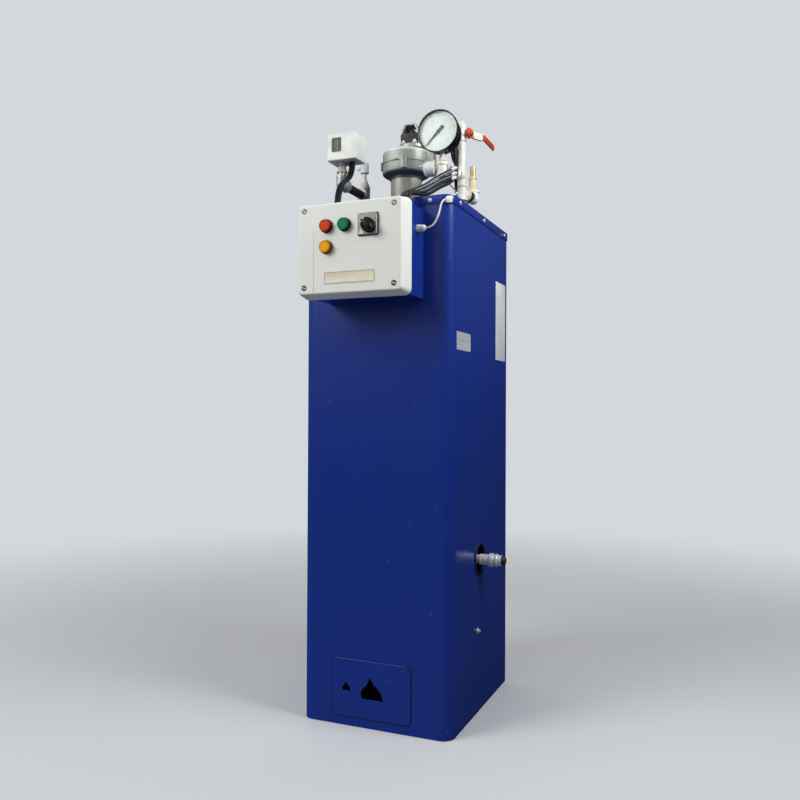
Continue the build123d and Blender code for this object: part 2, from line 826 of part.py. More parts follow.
# Stand pipe, below and above its tee
with BuildPart() as stand_pipe:
    with BuildSketch(Plane.XY.offset(drum_top)):
        with Locations((stand_x, stand_y)):
            Circle(pipe_radius)
            Circle(pipe_radius - pipe_wall, mode=Mode.SUBTRACT)
    extrude(amount=stand_tee_z - tee_reach - drum_top)
    with BuildSketch(Plane.XY.offset(stand_tee_z + tee_reach)):
        with Locations((stand_x, stand_y)):
            Circle(pipe_radius)
            Circle(pipe_radius - pipe_wall, mode=Mode.SUBTRACT)
    extrude(amount=stand_length)
stand_pipe.part.label = "stand_pipe"
export_step(stand_pipe.part, "parts/stand_pipe.step")

# Tee of the stand pipe, its branch turned a little outward
branch_direction = (math.sin(math.radians(branch_turn)), math.cos(math.radians(branch_turn)), 0)
branch_plane = Plane(origin=(stand_x, stand_y, stand_tee_z), z_dir=branch_direction)
with BuildPart() as stand_tee:
    with Locations((stand_x, stand_y, stand_tee_z - tee_reach)):
        Cylinder(fitting_radius, 2 * tee_reach, align=on_base)
        Cylinder(bead_radius, bead_length, align=on_base)
    with Locations((stand_x, stand_y, stand_tee_z + tee_reach - bead_length)):
        Cylinder(bead_radius, bead_length, align=on_base)
    with BuildSketch(branch_plane):
        Circle(branch_radius)
    extrude(amount=branch_reach)
    with BuildSketch(branch_plane.offset(branch_reach - bead_length)):
        Circle(bead_radius)
    extrude(amount=bead_length)
stand_tee.part.label = "stand_tee"
export_step(stand_tee.part, "parts/stand_tee.step")

# Ball valve at the top of the stand pipe, its stem out to the right
with BuildPart() as valve_body:
    with Locations((stand_x, stand_y, valve_z - valve_half_length)):
        Cylinder(valve_radius, 2 * valve_half_length, align=on_base)
    with Locations((stand_x, stand_y, valve_z)):
        Sphere(valve_ball_radius)
    with BuildSketch(Plane.XY.offset(valve_z + valve_half_length)):
        with Locations((stand_x, stand_y)):
            Circle(pipe_radius)
    extrude(amount=valve_tail)
    fillet(valve_body.faces().sort_by(Axis.Z)[-1].edges(), valve_tail_round)
    with BuildSketch(Plane.YZ.offset(stand_x)):
        with Locations((stand_y, valve_z)):
            Circle(stem_radius)
    extrude(amount=hub_stop_x - stand_x)
valve_body.part.label = "valve_body"
export_step(valve_body.part, "parts/valve_body.step")

# Lever of the ball valve, a bent flat bar with a round hub on the stem
with BuildPart() as valve_lever:
    with BuildSketch(Plane.YZ.offset(hub_start_x)):
        with Locations((stand_y, valve_z)):
            Circle(hub_radius)
    extrude(amount=hub_stop_x - hub_start_x)
    with BuildSketch(Plane.XY.offset(valve_z - lever_height / 2)):
        with BuildLine():
            Polyline(
                (lever_x, stand_y),
                (lever_x, stand_y + lever_kick_reach),
                (lever_x + lever_offset, stand_y + lever_neck_reach),
                (lever_x + lever_offset, stand_y + lever_reach),
            )
        trace(line_width=lever_sheet)
    extrude(amount=lever_height)
    with BuildSketch(Plane.YZ.offset(hub_start_x)):
        with Locations((stand_y, valve_z)):
            Circle(stem_radius + stem_gap)
    extrude(amount=hub_stop_x - hub_start_x, mode=Mode.SUBTRACT)
valve_lever.part.label = "valve_lever"
export_step(valve_lever.part, "parts/valve_lever.step")

# Nipple from the tee to the outlet elbow
with BuildPart() as outlet_nipple:
    with BuildSketch(branch_plane.offset(branch_reach)):
        Circle(pipe_radius)
        Circle(pipe_radius - pipe_wall, mode=Mode.SUBTRACT)
    extrude(amount=outlet_run - elbow_reach - branch_reach)
outlet_nipple.part.label = "outlet_nipple"
export_step(outlet_nipple.part, "parts/outlet_nipple.step")

# Outlet elbow, turned up
elbow_x = stand_x + outlet_run * branch_direction[0]
elbow_y = stand_y + outlet_run * branch_direction[1]
outlet_bottom = stand_tee_z + elbow_reach
outlet_top = outlet_bottom + outlet_length
with BuildPart() as outlet_elbow:
    with BuildSketch(branch_plane.offset(outlet_run - elbow_reach)):
        Circle(fitting_radius)
    extrude(amount=elbow_reach)
    with BuildSketch(branch_plane.offset(outlet_run - elbow_reach)):
        Circle(bead_radius)
    extrude(amount=bead_length)
    with Locations((elbow_x, elbow_y, stand_tee_z)):
        Sphere(fitting_radius)
        Cylinder(fitting_radius, elbow_reach, align=on_base)
    with Locations((elbow_x, elbow_y, outlet_bottom - bead_length)):
        Cylinder(bead_radius, bead_length, align=on_base)
outlet_elbow.part.label = "outlet_elbow"
export_step(outlet_elbow.part, "parts/outlet_elbow.step")

# Outlet pipe with its ring, and the brass nozzle on top
with BuildPart() as outlet_pipe:
    with Locations((elbow_x, elbow_y, outlet_bottom)):
        Cylinder(outlet_radius, outlet_length, align=on_base)
    with Locations((elbow_x, elbow_y, outlet_top - outlet_ring_length)):
        Cylinder(outlet_ring_radius, outlet_ring_length, align=on_base)
outlet_pipe.part.label = "outlet_pipe"
export_step(outlet_pipe.part, "parts/outlet_pipe.step")

with BuildPart() as outlet_nozzle:
    with BuildSketch(Plane.XY.offset(outlet_top)):
        with Locations((elbow_x, elbow_y)):
            Circle(nozzle_radius)
            Circle(nozzle_bore_radius, mode=Mode.SUBTRACT)
    extrude(amount=nozzle_length)
outlet_nozzle.part.label = "outlet_nozzle"
export_step(outlet_nozzle.part, "parts/outlet_nozzle.step")

# Riser of the pressure switch
with BuildPart() as switch_riser:
    with BuildSketch(Plane.XY.offset(drum_top)):
        with Locations((switch_x, switch_tee_y)):
            Circle(pipe_radius)
            Circle(pipe_radius - pipe_wall, mode=Mode.SUBTRACT)
    extrude(amount=switch_tee_bottom - drum_top)
switch_riser.part.label = "switch_riser"
export_step(switch_riser.part, "parts/switch_riser.step")

# Tee on the riser, its branch to the front
with BuildPart() as switch_tee:
    with Locations((switch_x, switch_tee_y, switch_tee_bottom)):
        Cylinder(fitting_radius, switch_tee_top - switch_tee_bottom, align=on_base)
        Cylinder(bead_radius, bead_length, align=on_base)
    with BuildSketch(Plane.XZ.offset(-switch_tee_y)):
        with Locations((switch_x, switch_run_z)):
            Circle(branch_radius)
    extrude(amount=branch_reach)
    with BuildSketch(Plane.XZ.offset(-switch_tee_y + branch_reach - bead_length)):
        with Locations((switch_x, switch_run_z)):
            Circle(bead_radius)
    extrude(amount=bead_length)
switch_tee.part.label = "switch_tee"
export_step(switch_tee.part, "parts/switch_tee.step")

# Nipple from the tee to the elbow under the switch
with BuildPart() as switch_nipple:
    with BuildSketch(Plane.XZ.offset(-switch_tee_y + branch_reach)):
        with Locations((switch_x, switch_run_z)):
            Circle(pipe_radius)
            Circle(pipe_radius - pipe_wall, mode=Mode.SUBTRACT)
    extrude(amount=switch_tee_y - branch_reach - switch_axis_y - elbow_reach)
switch_nipple.part.label = "switch_nipple"
export_step(switch_nipple.part, "parts/switch_nipple.step")

# Elbow under the switch
with BuildPart() as switch_elbow:
    with BuildSketch(Plane.XZ.offset(-switch_axis_y - elbow_reach)):
        with Locations((switch_x, switch_run_z)):
            Circle(fitting_radius)
    extrude(amount=elbow_reach)
    with BuildSketch(Plane.XZ.offset(-switch_axis_y - elbow_reach)):
        with Locations((switch_x, switch_run_z)):
            Circle(bead_radius)
    extrude(amount=bead_length)
    with Locations((switch_x, switch_axis_y, switch_run_z)):
        Sphere(fitting_radius)
        Cylinder(fitting_radius, elbow_reach, align=on_base)
switch_elbow.part.label = "switch_elbow"
export_step(switch_elbow.part, "parts/switch_elbow.step")

# Neck from the elbow to the switch box
with BuildPart() as switch_neck:
    with Locations((switch_x, switch_axis_y, switch_run_z + elbow_reach)):
        Cylinder(pipe_radius, neck_pipe_length, align=on_base)
    with Locations((switch_x, switch_axis_y, neck_cone_bottom)):
        Cone(neck_cone_radius, neck_socket_radius, neck_cone_length, align=on_base)
    with Locations((switch_x, switch_axis_y, neck_socket_bottom)):
        Cylinder(neck_socket_radius, neck_socket_length, align=on_base)
switch_neck.part.label = "switch_neck"
export_step(switch_neck.part, "parts/switch_neck.step")

# Box of the pressure switch
with BuildPart() as pressure_switch:
    with Locations((switch_x + switch_box_offset, switch_axis_y + switch_box_shift, switch_box_bottom)):
        Box(switch_box_width, switch_box_depth, switch_box_height, align=on_base)
    fillet(pressure_switch.edges(), switch_box_edge)
pressure_switch.part.label = "pressure_switch"
export_step(pressure_switch.part, "parts/pressure_switch.step")

# Vent on top of the tee
with BuildPart() as vent_valve:
    with Locations((switch_x, switch_tee_y, switch_tee_top)):
        Cylinder(vent_flange_radius, vent_flange_length, align=on_base)
    with Locations((switch_x, switch_tee_y, switch_tee_top + vent_flange_length)):
        Cone(fitting_radius, vent_neck_radius, vent_cone_length, align=on_base)
    with Locations((switch_x, switch_tee_y, vent_neck_bottom)):
        Cylinder(vent_neck_radius, vent_neck_length, align=on_base)
    with Locations((switch_x, switch_tee_y, vent_head_bottom)):
        Cylinder(vent_head_radius, vent_head_length, align=on_base)
    with BuildSketch(Plane.YZ.offset(switch_x)):
        with Locations((switch_tee_y, vent_head_bottom + vent_head_length / 2)):
            Circle(vent_stub_radius)
    extrude(amount=-vent_stub_reach)
vent_valve.part.label = "vent_valve"
export_step(vent_valve.part, "parts/vent_valve.step")

# Rim round the feed hole in the right panel
with BuildPart() as feed_rim:
    with BuildSketch(Plane.YZ.offset(cabinet_width / 2)):
        with Locations((feed_y, feed_z)):
            Circle(rim_radius)
            Circle(rim_radius - rim_width, mode=Mode.SUBTRACT)
    extrude(amount=rim_depth)
feed_rim.part.label = "feed_rim"
export_step(feed_rim.part, "parts/feed_rim.step")

# Feed nozzle out of the drum, with its union nut and end ring
feed_start_x = drum_x + drum_radius - drum_wall / 2
with BuildPart() as feed_nozzle:
    with BuildSketch(Plane.YZ.offset(feed_start_x)):
        with Locations((feed_y, feed_z)):
            Circle(feed_radius)
    extrude(amount=feed_end_x - feed_start_x)
    with BuildSketch(Plane.YZ.offset(union_start_x)):
        with Locations((feed_y, feed_z)):
            RegularPolygon(union_radius, 6)
    extrude(amount=union_length)
    with BuildSketch(Plane.YZ.offset(ring_start_x)):
        with Locations((feed_y, feed_z)):
            Circle(ring_radius)
    extrude(amount=ring_length)
    with BuildSketch(Plane.YZ.offset(feed_start_x)):
        with Locations((feed_y, feed_z)):
            Circle(feed_radius - feed_wall)
    extrude(amount=feed_end_x - feed_start_x, mode=Mode.SUBTRACT)
feed_nozzle.part.label = "feed_nozzle"
export_step(feed_nozzle.part, "parts/feed_nozzle.step")

# Glands on the control housing and grommets in the lid
with BuildPart() as cable_glands:
    with Locations((left_gland_x, gland_y, housing_top)):
        Cylinder(gland_radius, gland_height, align=on_base)
    with Locations((right_gland_x, gland_y, housing_top)):
        Cylinder(wide_gland_radius, gland_height, align=on_base)
    with BuildSketch(Plane.YZ.offset(housing_width / 2)):
        with Locations((gland_y, side_gland_z)):
            Circle(side_gland_radius)
    extrude(amount=side_gland_length)
    with Locations((drop_x, drop_y, cabinet_height), (signal_end_x, signal_end_y, cabinet_height)):
        Cylinder(grommet_radius, grommet_height, align=on_base)
cable_glands.part.label = "cable_glands"
export_step(cable_glands.part, "parts/cable_glands.step")

# Two cables from the left gland up to the pressure switch
switch_cable_x = switch_x + switch_cable_offset
with BuildPart() as switch_cables:
    for side in (-cable_pitch / 2, cable_pitch / 2):
        with BuildLine() as run:
            FilletPolyline(
                (left_gland_x + side, gland_y, gland_top),
                (left_gland_x + side, gland_y, gland_top + switch_cable_rise),
                (switch_cable_x + side, switch_axis_y, switch_box_bottom - switch_cable_drop),
                (switch_cable_x + side, switch_axis_y, switch_box_bottom),
                radius=switch_cable_bend,
            )
        with BuildSketch(Plane(origin=run.line @ 0, z_dir=run.line % 0)):
            Circle(cable_radius)
        sweep()
switch_cables.part.label = "switch_cables"
export_step(switch_cables.part, "parts/switch_cables.step")

# Cables from the right gland past the gauge, two on to the fan motor and one down to the lid
motor_side_x = motor_x + motor_length / 2
motor_entry_z = motor_bottom + motor_height / 2
strand_pass_x = gauge_x + strand_pass_offset
strand_pass_y = gauge_stem_y - strand_pass_reach
strand_pass_z = gauge_tee_bottom + strand_pass_lift
strand_tie_z = cabinet_height + strand_tie_rise
strand_turn_z = cabinet_height + strand_turn_rise
with BuildPart() as main_cables:
    for number in (0, 1):
        side = number * cable_pitch
        entry_z = motor_entry_z + (number - 1 / 2) * motor_entry_pitch
        with BuildLine() as run:
            FilletPolyline(
                (right_gland_x - cable_pitch + side, gland_y, gland_top),
                (right_gland_x - cable_pitch + side, gland_y, gland_top + strand_rise),
                (strand_pass_x + side, strand_pass_y, strand_pass_z),
                (strand_tie_x + side, strand_tie_y, strand_tie_z),
                (strand_tie_x + side, strand_tie_y, strand_turn_z + number * strand_turn_step),
                (motor_side_x + strand_lead, drum_y, entry_z),
                (motor_side_x, drum_y, entry_z),
                radius=strand_bend,
            )
        with BuildSketch(Plane(origin=run.line @ 0, z_dir=run.line % 0)):
            Circle(cable_radius)
        sweep()
    with BuildLine() as run:
        FilletPolyline(
            (right_gland_x + cable_pitch, gland_y, gland_top),
            (right_gland_x + cable_pitch, gland_y, gland_top + strand_rise),
            (right_gland_x + sag_offset, front_y + sag_reach, cabinet_height + sag_rise),
            (drop_x, drop_y, cabinet_height + drop_rise),
            (drop_x, drop_y, grommet_top),
            radius=strand_bend,
        )
    with BuildSketch(Plane(origin=run.line @ 0, z_dir=run.line % 0)):
        Circle(cable_radius)
    sweep()
main_cables.part.label = "main_cables"
export_step(main_cables.part, "parts/main_cables.step")

# Clip on the lid flange that holds the thin cable
clip_top = cabinet_height - sheet
with BuildPart() as cable_clip:
    with Locations(Location((clip_x, clip_y, clip_top - clip_height), (0, 0, clip_turn))):
        Box(clip_width, clip_depth, clip_height, align=on_base)
        Cylinder(signal_radius, clip_height, align=on_base, mode=Mode.SUBTRACT)
cable_clip.part.label = "cable_clip"
export_step(cable_clip.part, "parts/cable_clip.step")

# Thin cable from the side gland through the clip to its grommet
signal_far_z = cabinet_height + signal_far_rise
with BuildPart() as signal_cable:
    with BuildLine() as run:
        FilletPolyline(
            (side_gland_end, gland_y, side_gland_z),
            (side_gland_end + signal_lead, gland_y, side_gland_z),
            (clip_x, clip_y, clip_top - clip_height - clip_drop),
            (clip_x, clip_y, cabinet_height + signal_rise),
            (signal_end_x, signal_end_y - signal_far_reach, signal_far_z),
            (signal_end_x, signal_end_y, signal_far_z),
            (signal_end_x, signal_end_y, grommet_top),
            radius=[signal_exit_bend] + [signal_bend] * signal_bend_count,
        )
    with BuildSketch(Plane(origin=run.line @ 0, z_dir=run.line % 0)):
        Circle(signal_radius)
    sweep()
signal_cable.part.label = "signal_cable"
export_step(signal_cable.part, "parts/signal_cable.step")
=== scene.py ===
import math

import bmesh
import bpy
from mathutils import Matrix, Vector


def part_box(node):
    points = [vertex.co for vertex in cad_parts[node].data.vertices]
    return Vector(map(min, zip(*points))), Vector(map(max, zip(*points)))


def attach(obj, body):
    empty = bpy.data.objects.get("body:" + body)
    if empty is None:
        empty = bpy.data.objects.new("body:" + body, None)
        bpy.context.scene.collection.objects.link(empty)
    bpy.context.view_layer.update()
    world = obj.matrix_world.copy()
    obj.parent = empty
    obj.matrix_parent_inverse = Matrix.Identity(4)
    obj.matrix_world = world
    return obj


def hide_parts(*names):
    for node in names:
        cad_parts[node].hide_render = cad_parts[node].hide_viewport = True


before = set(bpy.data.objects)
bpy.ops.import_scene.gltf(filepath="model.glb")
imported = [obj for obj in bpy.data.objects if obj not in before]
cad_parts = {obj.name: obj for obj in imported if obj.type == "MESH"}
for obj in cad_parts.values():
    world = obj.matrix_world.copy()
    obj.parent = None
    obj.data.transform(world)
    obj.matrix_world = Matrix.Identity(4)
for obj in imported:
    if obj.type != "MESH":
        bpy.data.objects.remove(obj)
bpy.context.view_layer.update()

# Studio: a plain pale floor and a pale sky, dimmer on the right and behind, a large soft lamp high on the
# left and a smaller one near the right side. In gloss the sky shows dimmer and the floor dark, so that the
# enamel's blue stays deep. The camera stands in front and to the right, a little above half the height.
mm = 0.001
floor_radius, floor_drop = 40, 0.2 * mm
sky_colour, dark_reflection = "#d3d8dc", "#2b2f36"
key_place, key_size, key_power = (-1.9, -2.5, 2.5), 1.6, 64
fill_place, fill_size, fill_power = (1.15, -0.3, 1.8), 0.7, 19
lamp_aim = (0, 0, 0.75)
camera_place = (0.7637, -1.8773, 0.7283)
camera_turn = (90.590, -0.252, 22.953)
camera_lens, camera_reach = 36.09, 100


def linear(colour):
    """Turns an sRGB hex colour to linear red, green, blue and alpha."""
    shares = [int(colour[i:i + 2], 16) / 255 for i in (1, 3, 5)]
    return [s / 12.92 if s <= 0.04045 else ((s + 0.055) / 1.055) ** 2.4 for s in shares] + [1]


def add_node(tree, kind, inputs, **settings):
    """Adds a node with its settings. Each input gets a value, or a link where it is given an output."""
    made = tree.nodes.new("ShaderNode" + kind)
    for name, value in settings.items():
        setattr(made, name, value)
    for name, value in inputs.items():
        if isinstance(value, bpy.types.NodeSocket):
            tree.links.new(value, made.inputs[name])
        else:
            made.inputs[name].default_value = value
    return made.outputs


def new_finish(name):
    """Starts a material: gives it, its empty node tree and the object coordinates."""
    finish = bpy.data.materials.new(name)
    finish.use_nodes = True
    finish.node_tree.nodes.clear()
    return finish, finish.node_tree, add_node(finish.node_tree, "TexCoord", {})["Object"]


def noise(tree, place, size, detail):
    """A cloudy pattern with patches of a size in mm."""
    return add_node(tree, "TexNoise", {"Vector": place, "Scale": 1 / (size * mm), "Detail": detail})["Fac"]


def ramp(tree, value, start, end, low=0, high=1, **settings):
    """Runs from low to high while the value goes from start to end."""
    return add_node(tree, "MapRange", {"Value": value, "From Min": start, "From Max": end,
                                       "To Min": low, "To Max": high}, **settings)["Result"]


def blend(tree, share, first, second):
    """Mixes two colours, each a hex text or an output."""
    first, second = [linear(colour) if isinstance(colour, str) else colour for colour in (first, second)]
    return add_node(tree, "Mix", {0: share, 6: first, 7: second}, data_type="RGBA")[2]


def reckon(tree, operation, first, second):
    """One step of arithmetic."""
    return add_node(tree, "Math", {0: first, 1: second}, operation=operation)[0]


bpy.ops.mesh.primitive_circle_add(vertices=96, radius=floor_radius, fill_type="TRIFAN",
                                  location=(0, 0, -floor_drop))
floor = bpy.context.object
floor.name = "studio_floor"
floor_paint, tree, place = new_finish("matt_floor_paint")
# Matt floor paint with a hardly seen drift of tone. Far from the boiler it shows the sky's own colour,
# so that no horizon line crosses the view, and it throws little light back on the boiler.
path = add_node(tree, "LightPath", {})
tone = blend(tree, noise(tree, place, 900, 2), "#cfd2d5", "#d6d8da")
held = reckon(tree, "MAXIMUM", path["Is Glossy Ray"], reckon(tree, "MULTIPLY", path["Is Diffuse Ray"], 0.6))
tone = blend(tree, held, tone, dark_reflection)
matt = add_node(tree, "BsdfPrincipled", {"Base Color": tone, "Roughness": 0.8, "Specular IOR Level": 0.2})[0]
reach = add_node(tree, "VectorMath", {0: place}, operation="LENGTH")["Value"]
far = ramp(tree, reach, 0.5, 3.2, interpolation_type="SMOOTHSTEP")
seen = reckon(tree, "MAXIMUM", path["Is Camera Ray"], path["Is Transmission Ray"])
far = reckon(tree, "MULTIPLY", far, seen)
glow = add_node(tree, "Emission", {"Color": linear(sky_colour), "Strength": 1})[0]
both = add_node(tree, "MixShader", {0: far, 1: matt, 2: glow})[0]
add_node(tree, "OutputMaterial", {"Surface": both})
floor.data.materials.append(floor_paint)

sky = bpy.data.worlds.new("studio_sky")
sky.use_nodes = True
tree = sky.node_tree
tree.nodes.clear()
path = add_node(tree, "LightPath", {})
seen = reckon(tree, "MAXIMUM", path["Is Camera Ray"], path["Is Transmission Ray"])
way = add_node(tree, "SeparateXYZ", {"Vector": add_node(tree, "TexCoord", {})["Generated"]})
dim = ramp(tree, way["X"], 0, 0.5, 0.52, 0.1)
rise = ramp(tree, way["Z"], 0.02, 0.3, 0.08, 0.5)
rise = reckon(tree, "MULTIPLY", rise, ramp(tree, way["Y"], 0.2, 0.8, 1, 0.3))
lit = add_node(tree, "Background", {"Color": linear("#ffffff"), "Strength": dim})[0]
mirrored = add_node(tree, "Background", {"Color": linear(sky_colour), "Strength": rise})[0]
shown = add_node(tree, "Background", {"Color": linear(sky_colour), "Strength": 1})[0]
both = add_node(tree, "MixShader", {0: path["Is Glossy Ray"], 1: lit, 2: mirrored})[0]
both = add_node(tree, "MixShader", {0: seen, 1: both, 2: shown})[0]
add_node(tree, "OutputWorld", {"Surface": both})
bpy.context.scene.world = sky

for name, place, size, power in (("key_lamp", key_place, key_size, key_power),
                                 ("fill_lamp", fill_place, fill_size, fill_power)):
    aim = (Vector(lamp_aim) - Vector(place)).to_track_quat("-Z", "Y").to_euler()
    bpy.ops.object.light_add(type="AREA", location=place, rotation=aim)
    lamp = bpy.context.object
    lamp.name = name
    lamp.data.size = size
    lamp.data.energy = power

bpy.ops.object.camera_add(location=camera_place, rotation=[math.radians(turn) for turn in camera_turn])
camera = bpy.context.object
camera.name = "camera"
camera.data.lens = camera_lens
camera.data.clip_end = camera_reach
bpy.context.scene.camera = camera
bpy.context.scene.view_settings.view_transform = "Standard"

# Cabinet: folded and bent mild steel sheet, sprayed with gloss blue enamel and screwed together.
# Front with rounded corner bends, sides, back, a pressed burner cover at the foot and the steel housing
# that carries the control box.
peel_size, wave_size, speck_size, drift_size = 5, 260, 9, 420


def bump(tree, height, depth, **inputs):
    """Raises a surface by a pattern, by a depth in mm."""
    return add_node(tree, "Bump", {"Height": height, "Distance": depth * mm, **inputs})["Normal"]


def surface(tree, **sockets):
    """Ends a material with its surface, whose inputs are given by name."""
    inputs = {name.replace("_", " "): value for name, value in sockets.items()}
    add_node(tree, "OutputMaterial", {"Surface": add_node(tree, "BsdfPrincipled", inputs)["BSDF"]})


def dress(finish, *names):
    """Puts a finish on CAD nodes, whose shape stays as it is."""
    for name in names:
        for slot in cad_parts[name].material_slots:
            slot.material = finish


enamel, tree, place = new_finish("sprayed_blue_enamel")
# Alkyd enamel on sheet steel: deep blue and glossy, with a slight orange peel, slow waves where the sheet
# isn't flat, and a few pale dust specks. The peel is drawn at 5 mm, coarser than real, so that it shows.
drift = noise(tree, place, drift_size, 3)
speck = ramp(tree, noise(tree, place, speck_size, 1), 0.79, 0.82, 0, 0.5)
tone = blend(tree, speck, blend(tree, drift, "#142d84", "#1a3790"), "#7d8ab8")
wave = bump(tree, noise(tree, place, wave_size, 0), 1.2)
peel = bump(tree, noise(tree, place, peel_size, 1), 0.012, Normal=wave)
surface(tree, Base_Color=tone, Roughness=ramp(tree, drift, 0, 1, 0.16, 0.3), Normal=peel, IOR=1.46)
dress(enamel, "front_panel", "right_panel", "left_panel", "back_panel", "burner_cover", "control_housing")

# Base pan, boiler drum, its legs and the burner: the pan is black painted sheet, the drum welded boiler plate
# with mill scale, the burner cast iron. They stand inside the jacket and show through the flame shaped holes.


def mottled(name, main, other, patch, roughness, grain, depth, stretch=(1, 1, 1), **sockets):
    """A finish whose colour drifts between two tones in patches, over a fine raised grain (sizes in mm)."""
    finish, tree, place = new_finish(name)
    place = add_node(tree, "Mapping", {"Vector": place, "Scale": stretch})["Vector"]
    drift = noise(tree, place, patch, 4)
    surface(tree, Base_Color=blend(tree, ramp(tree, drift, 0.35, 0.65), main, other),
            Roughness=ramp(tree, drift, 0.3, 0.7, *roughness),
            Normal=bump(tree, noise(tree, place, grain, 2), depth), **sockets)
    return finish


# Brushed black paint, dusty at the foot.
pan_paint = mottled("black_bitumen_paint", "#17181a", "#26272a", 60, (0.45, 0.65), 3, 0.05)
# Hot rolled plate: blue grey scale with rusty patches.
mill_scale = mottled("mill_scale_plate", "#3a3b3e", "#5a4a40", 45, (0.55, 0.75), 2, 0.08, Metallic=0.3)
# Sand cast iron: dark grey, matt and grainy.
burner_iron = mottled("sand_cast_iron", "#232325", "#38332f", 18, (0.65, 0.85), 1.5, 0.25, Metallic=0.2)
dress(pan_paint, "base_pan")
dress(mill_scale, "boiler_drum", "drum_legs")
dress(burner_iron, "burner")

# Lid screws: pale plated pan head screws through the turned down flange into the jacket's top edge,
# three on each side and two on the front and back.


def cad_box(name):
    """The low and the high corner of a CAD node, in mm."""
    low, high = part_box(name)
    return low / mm, high / mm


right, front, up = (1, 0, 0), (0, -1, 0), (0, 0, 1)
sharp_angle = 32
lid_low, lid_high = cad_box("top_lid")
lid_screw_radius, lid_screw_z = 4.6, lid_high.z - 11
side_screw_insets, front_screw_reach = (48, 231, 412), 132.5


def only(*pieces):
    """Selects these pieces and nothing else, with the first one active."""
    bpy.ops.object.select_all(action="DESELECT")
    for piece in pieces:
        piece.select_set(True)
    bpy.context.view_layer.objects.active = pieces[0]


def edit(piece, kind, wanted=lambda part: True):
    """Enters edit mode with those vertices, edges or faces selected that pass the test."""
    only(piece)
    bpy.ops.object.mode_set(mode="EDIT")
    bpy.ops.mesh.select_mode(type=kind)
    bpy.ops.mesh.select_all(action="DESELECT")
    mesh = bmesh.from_edit_mesh(piece.data)
    for part in {"VERT": mesh.verts, "EDGE": mesh.edges, "FACE": mesh.faces}[kind]:
        part.select_set(wanted(part))
    bmesh.update_edit_mesh(piece.data)


def close():
    """Turns all faces outward and leaves edit mode."""
    bpy.ops.mesh.select_all(action="SELECT")
    bpy.ops.mesh.normals_make_consistent(inside=False)
    bpy.ops.object.mode_set(mode="OBJECT")


def extrude(move):
    """Draws the selected faces or edges out by a move."""
    bpy.ops.mesh.extrude_region_move(TRANSFORM_OT_translate={"value": move})


def settled(name):
    """Names the piece just added and settles its place and turn in its mesh."""
    piece = bpy.context.object
    piece.name = name
    bpy.ops.object.transform_apply(location=True, rotation=True, scale=True)
    return piece


def turned(name, base, axis, profile, sides=48):
    """A turned piece: a disc drawn out along an axis through each (distance, radius), in mm."""
    base, axis = Vector(base) * mm, Vector(axis)
    reach, radius = profile[0]
    bpy.ops.mesh.primitive_circle_add(vertices=sides, radius=radius * mm, fill_type="NGON",
                                      location=base + axis * reach * mm,
                                      rotation=axis.to_track_quat("Z", "Y").to_euler())
    piece = settled(name)
    edit(piece, "FACE")
    for next_reach, next_radius in profile[1:]:
        step, place = axis * (next_reach - reach) * mm, base + axis * next_reach * mm
        extrude(step)
        bpy.ops.transform.resize(value=(next_radius / radius,) * 3, center_override=place)
        reach, radius = next_reach, next_radius
    close()
    return piece


def joined(name, *pieces):
    """Joins pieces as one, with each one's own finish kept."""
    only(*pieces)
    bpy.ops.object.join()
    pieces[0].name = name
    return pieces[0]


def placed(x, y, z, turn=0, axis="Z"):
    """The move that turns a piece by degrees about an axis and sets it at a place in mm."""
    return Matrix.Translation(Vector((x, y, z)) * mm) @ Matrix.Rotation(math.radians(turn), 4, axis)


def copies(model, moves):
    """Sets a copy of the model, with its own mesh, at each move, and joins them in place of the model."""
    twins = []
    for move in moves:
        twin = model.copy()
        twin.data = model.data.copy()
        twin.data.transform(move)
        bpy.context.collection.objects.link(twin)
        twins.append(twin)
    name = model.name
    bpy.data.objects.remove(model)
    return joined(name, *twins)


def painted(piece, finish):
    """Gives a piece its finish."""
    piece.data.materials.clear()
    piece.data.materials.append(finish)
    return piece


def finished(piece, finish, slot, body="boiler", hides=None):
    """Shades a piece smooth but for its sharp edges, gives it its finish and fixes it to a body. Its slot is
    not used.
    It may stand in for a CAD node, which is then hidden."""
    only(piece)
    bpy.ops.object.shade_smooth_by_angle(angle=math.radians(sharp_angle))
    if finish:
        painted(piece, finish)
    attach(piece, body)
    if hides:
        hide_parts(hides)


def screw_head(name, radius):
    """A pan head screw that looks along X from the origin: a domed head with a sunk drive."""
    shares = ((-0.3, 1), (0.25, 1), (0.42, 0.86), (0.52, 0.6), (0.56, 0.38), (0.3, 0.24), (0.1, 0.16))
    profile = [(radius * reach, radius * width) for reach, width in shares]
    return turned(name, (0, 0, 0), right, profile, 20)


# Bright zinc with a thin clear passivation: pale, a little dull.
zinc = mottled("bright_zinc_plate", "#e0e3e3", "#c9cdcc", 12, (0.28, 0.45), 1.2, 0.02, Metallic=0.4)
lid_moves = []
for inset in side_screw_insets:
    for x, turn in ((lid_high.x, 0), (lid_low.x, 180)):
        lid_moves.append(placed(x, lid_low.y + inset, lid_screw_z, turn))
for x in (-front_screw_reach, front_screw_reach):
    for y, turn in ((lid_low.y, -90), (lid_high.y, 90)):
        lid_moves.append(placed(x, y, lid_screw_z, turn))
finished(copies(screw_head("lid_screws", lid_screw_radius), lid_moves), zinc, "zinc_plate")

# Side plates: a blank aluminium data plate and a tall blank paper label, both stuck on the right side,
# and a short plated stud low down on it.
side_x = cad_box("right_panel")[1].x
data_plate_low, data_plate_high, plate_sheet = (-191, 860), (-92, 901), 0.7
label_low, label_high, label_sheet = (118, 854), (207, 1057), 0.35
stud_place = (-28, 196)


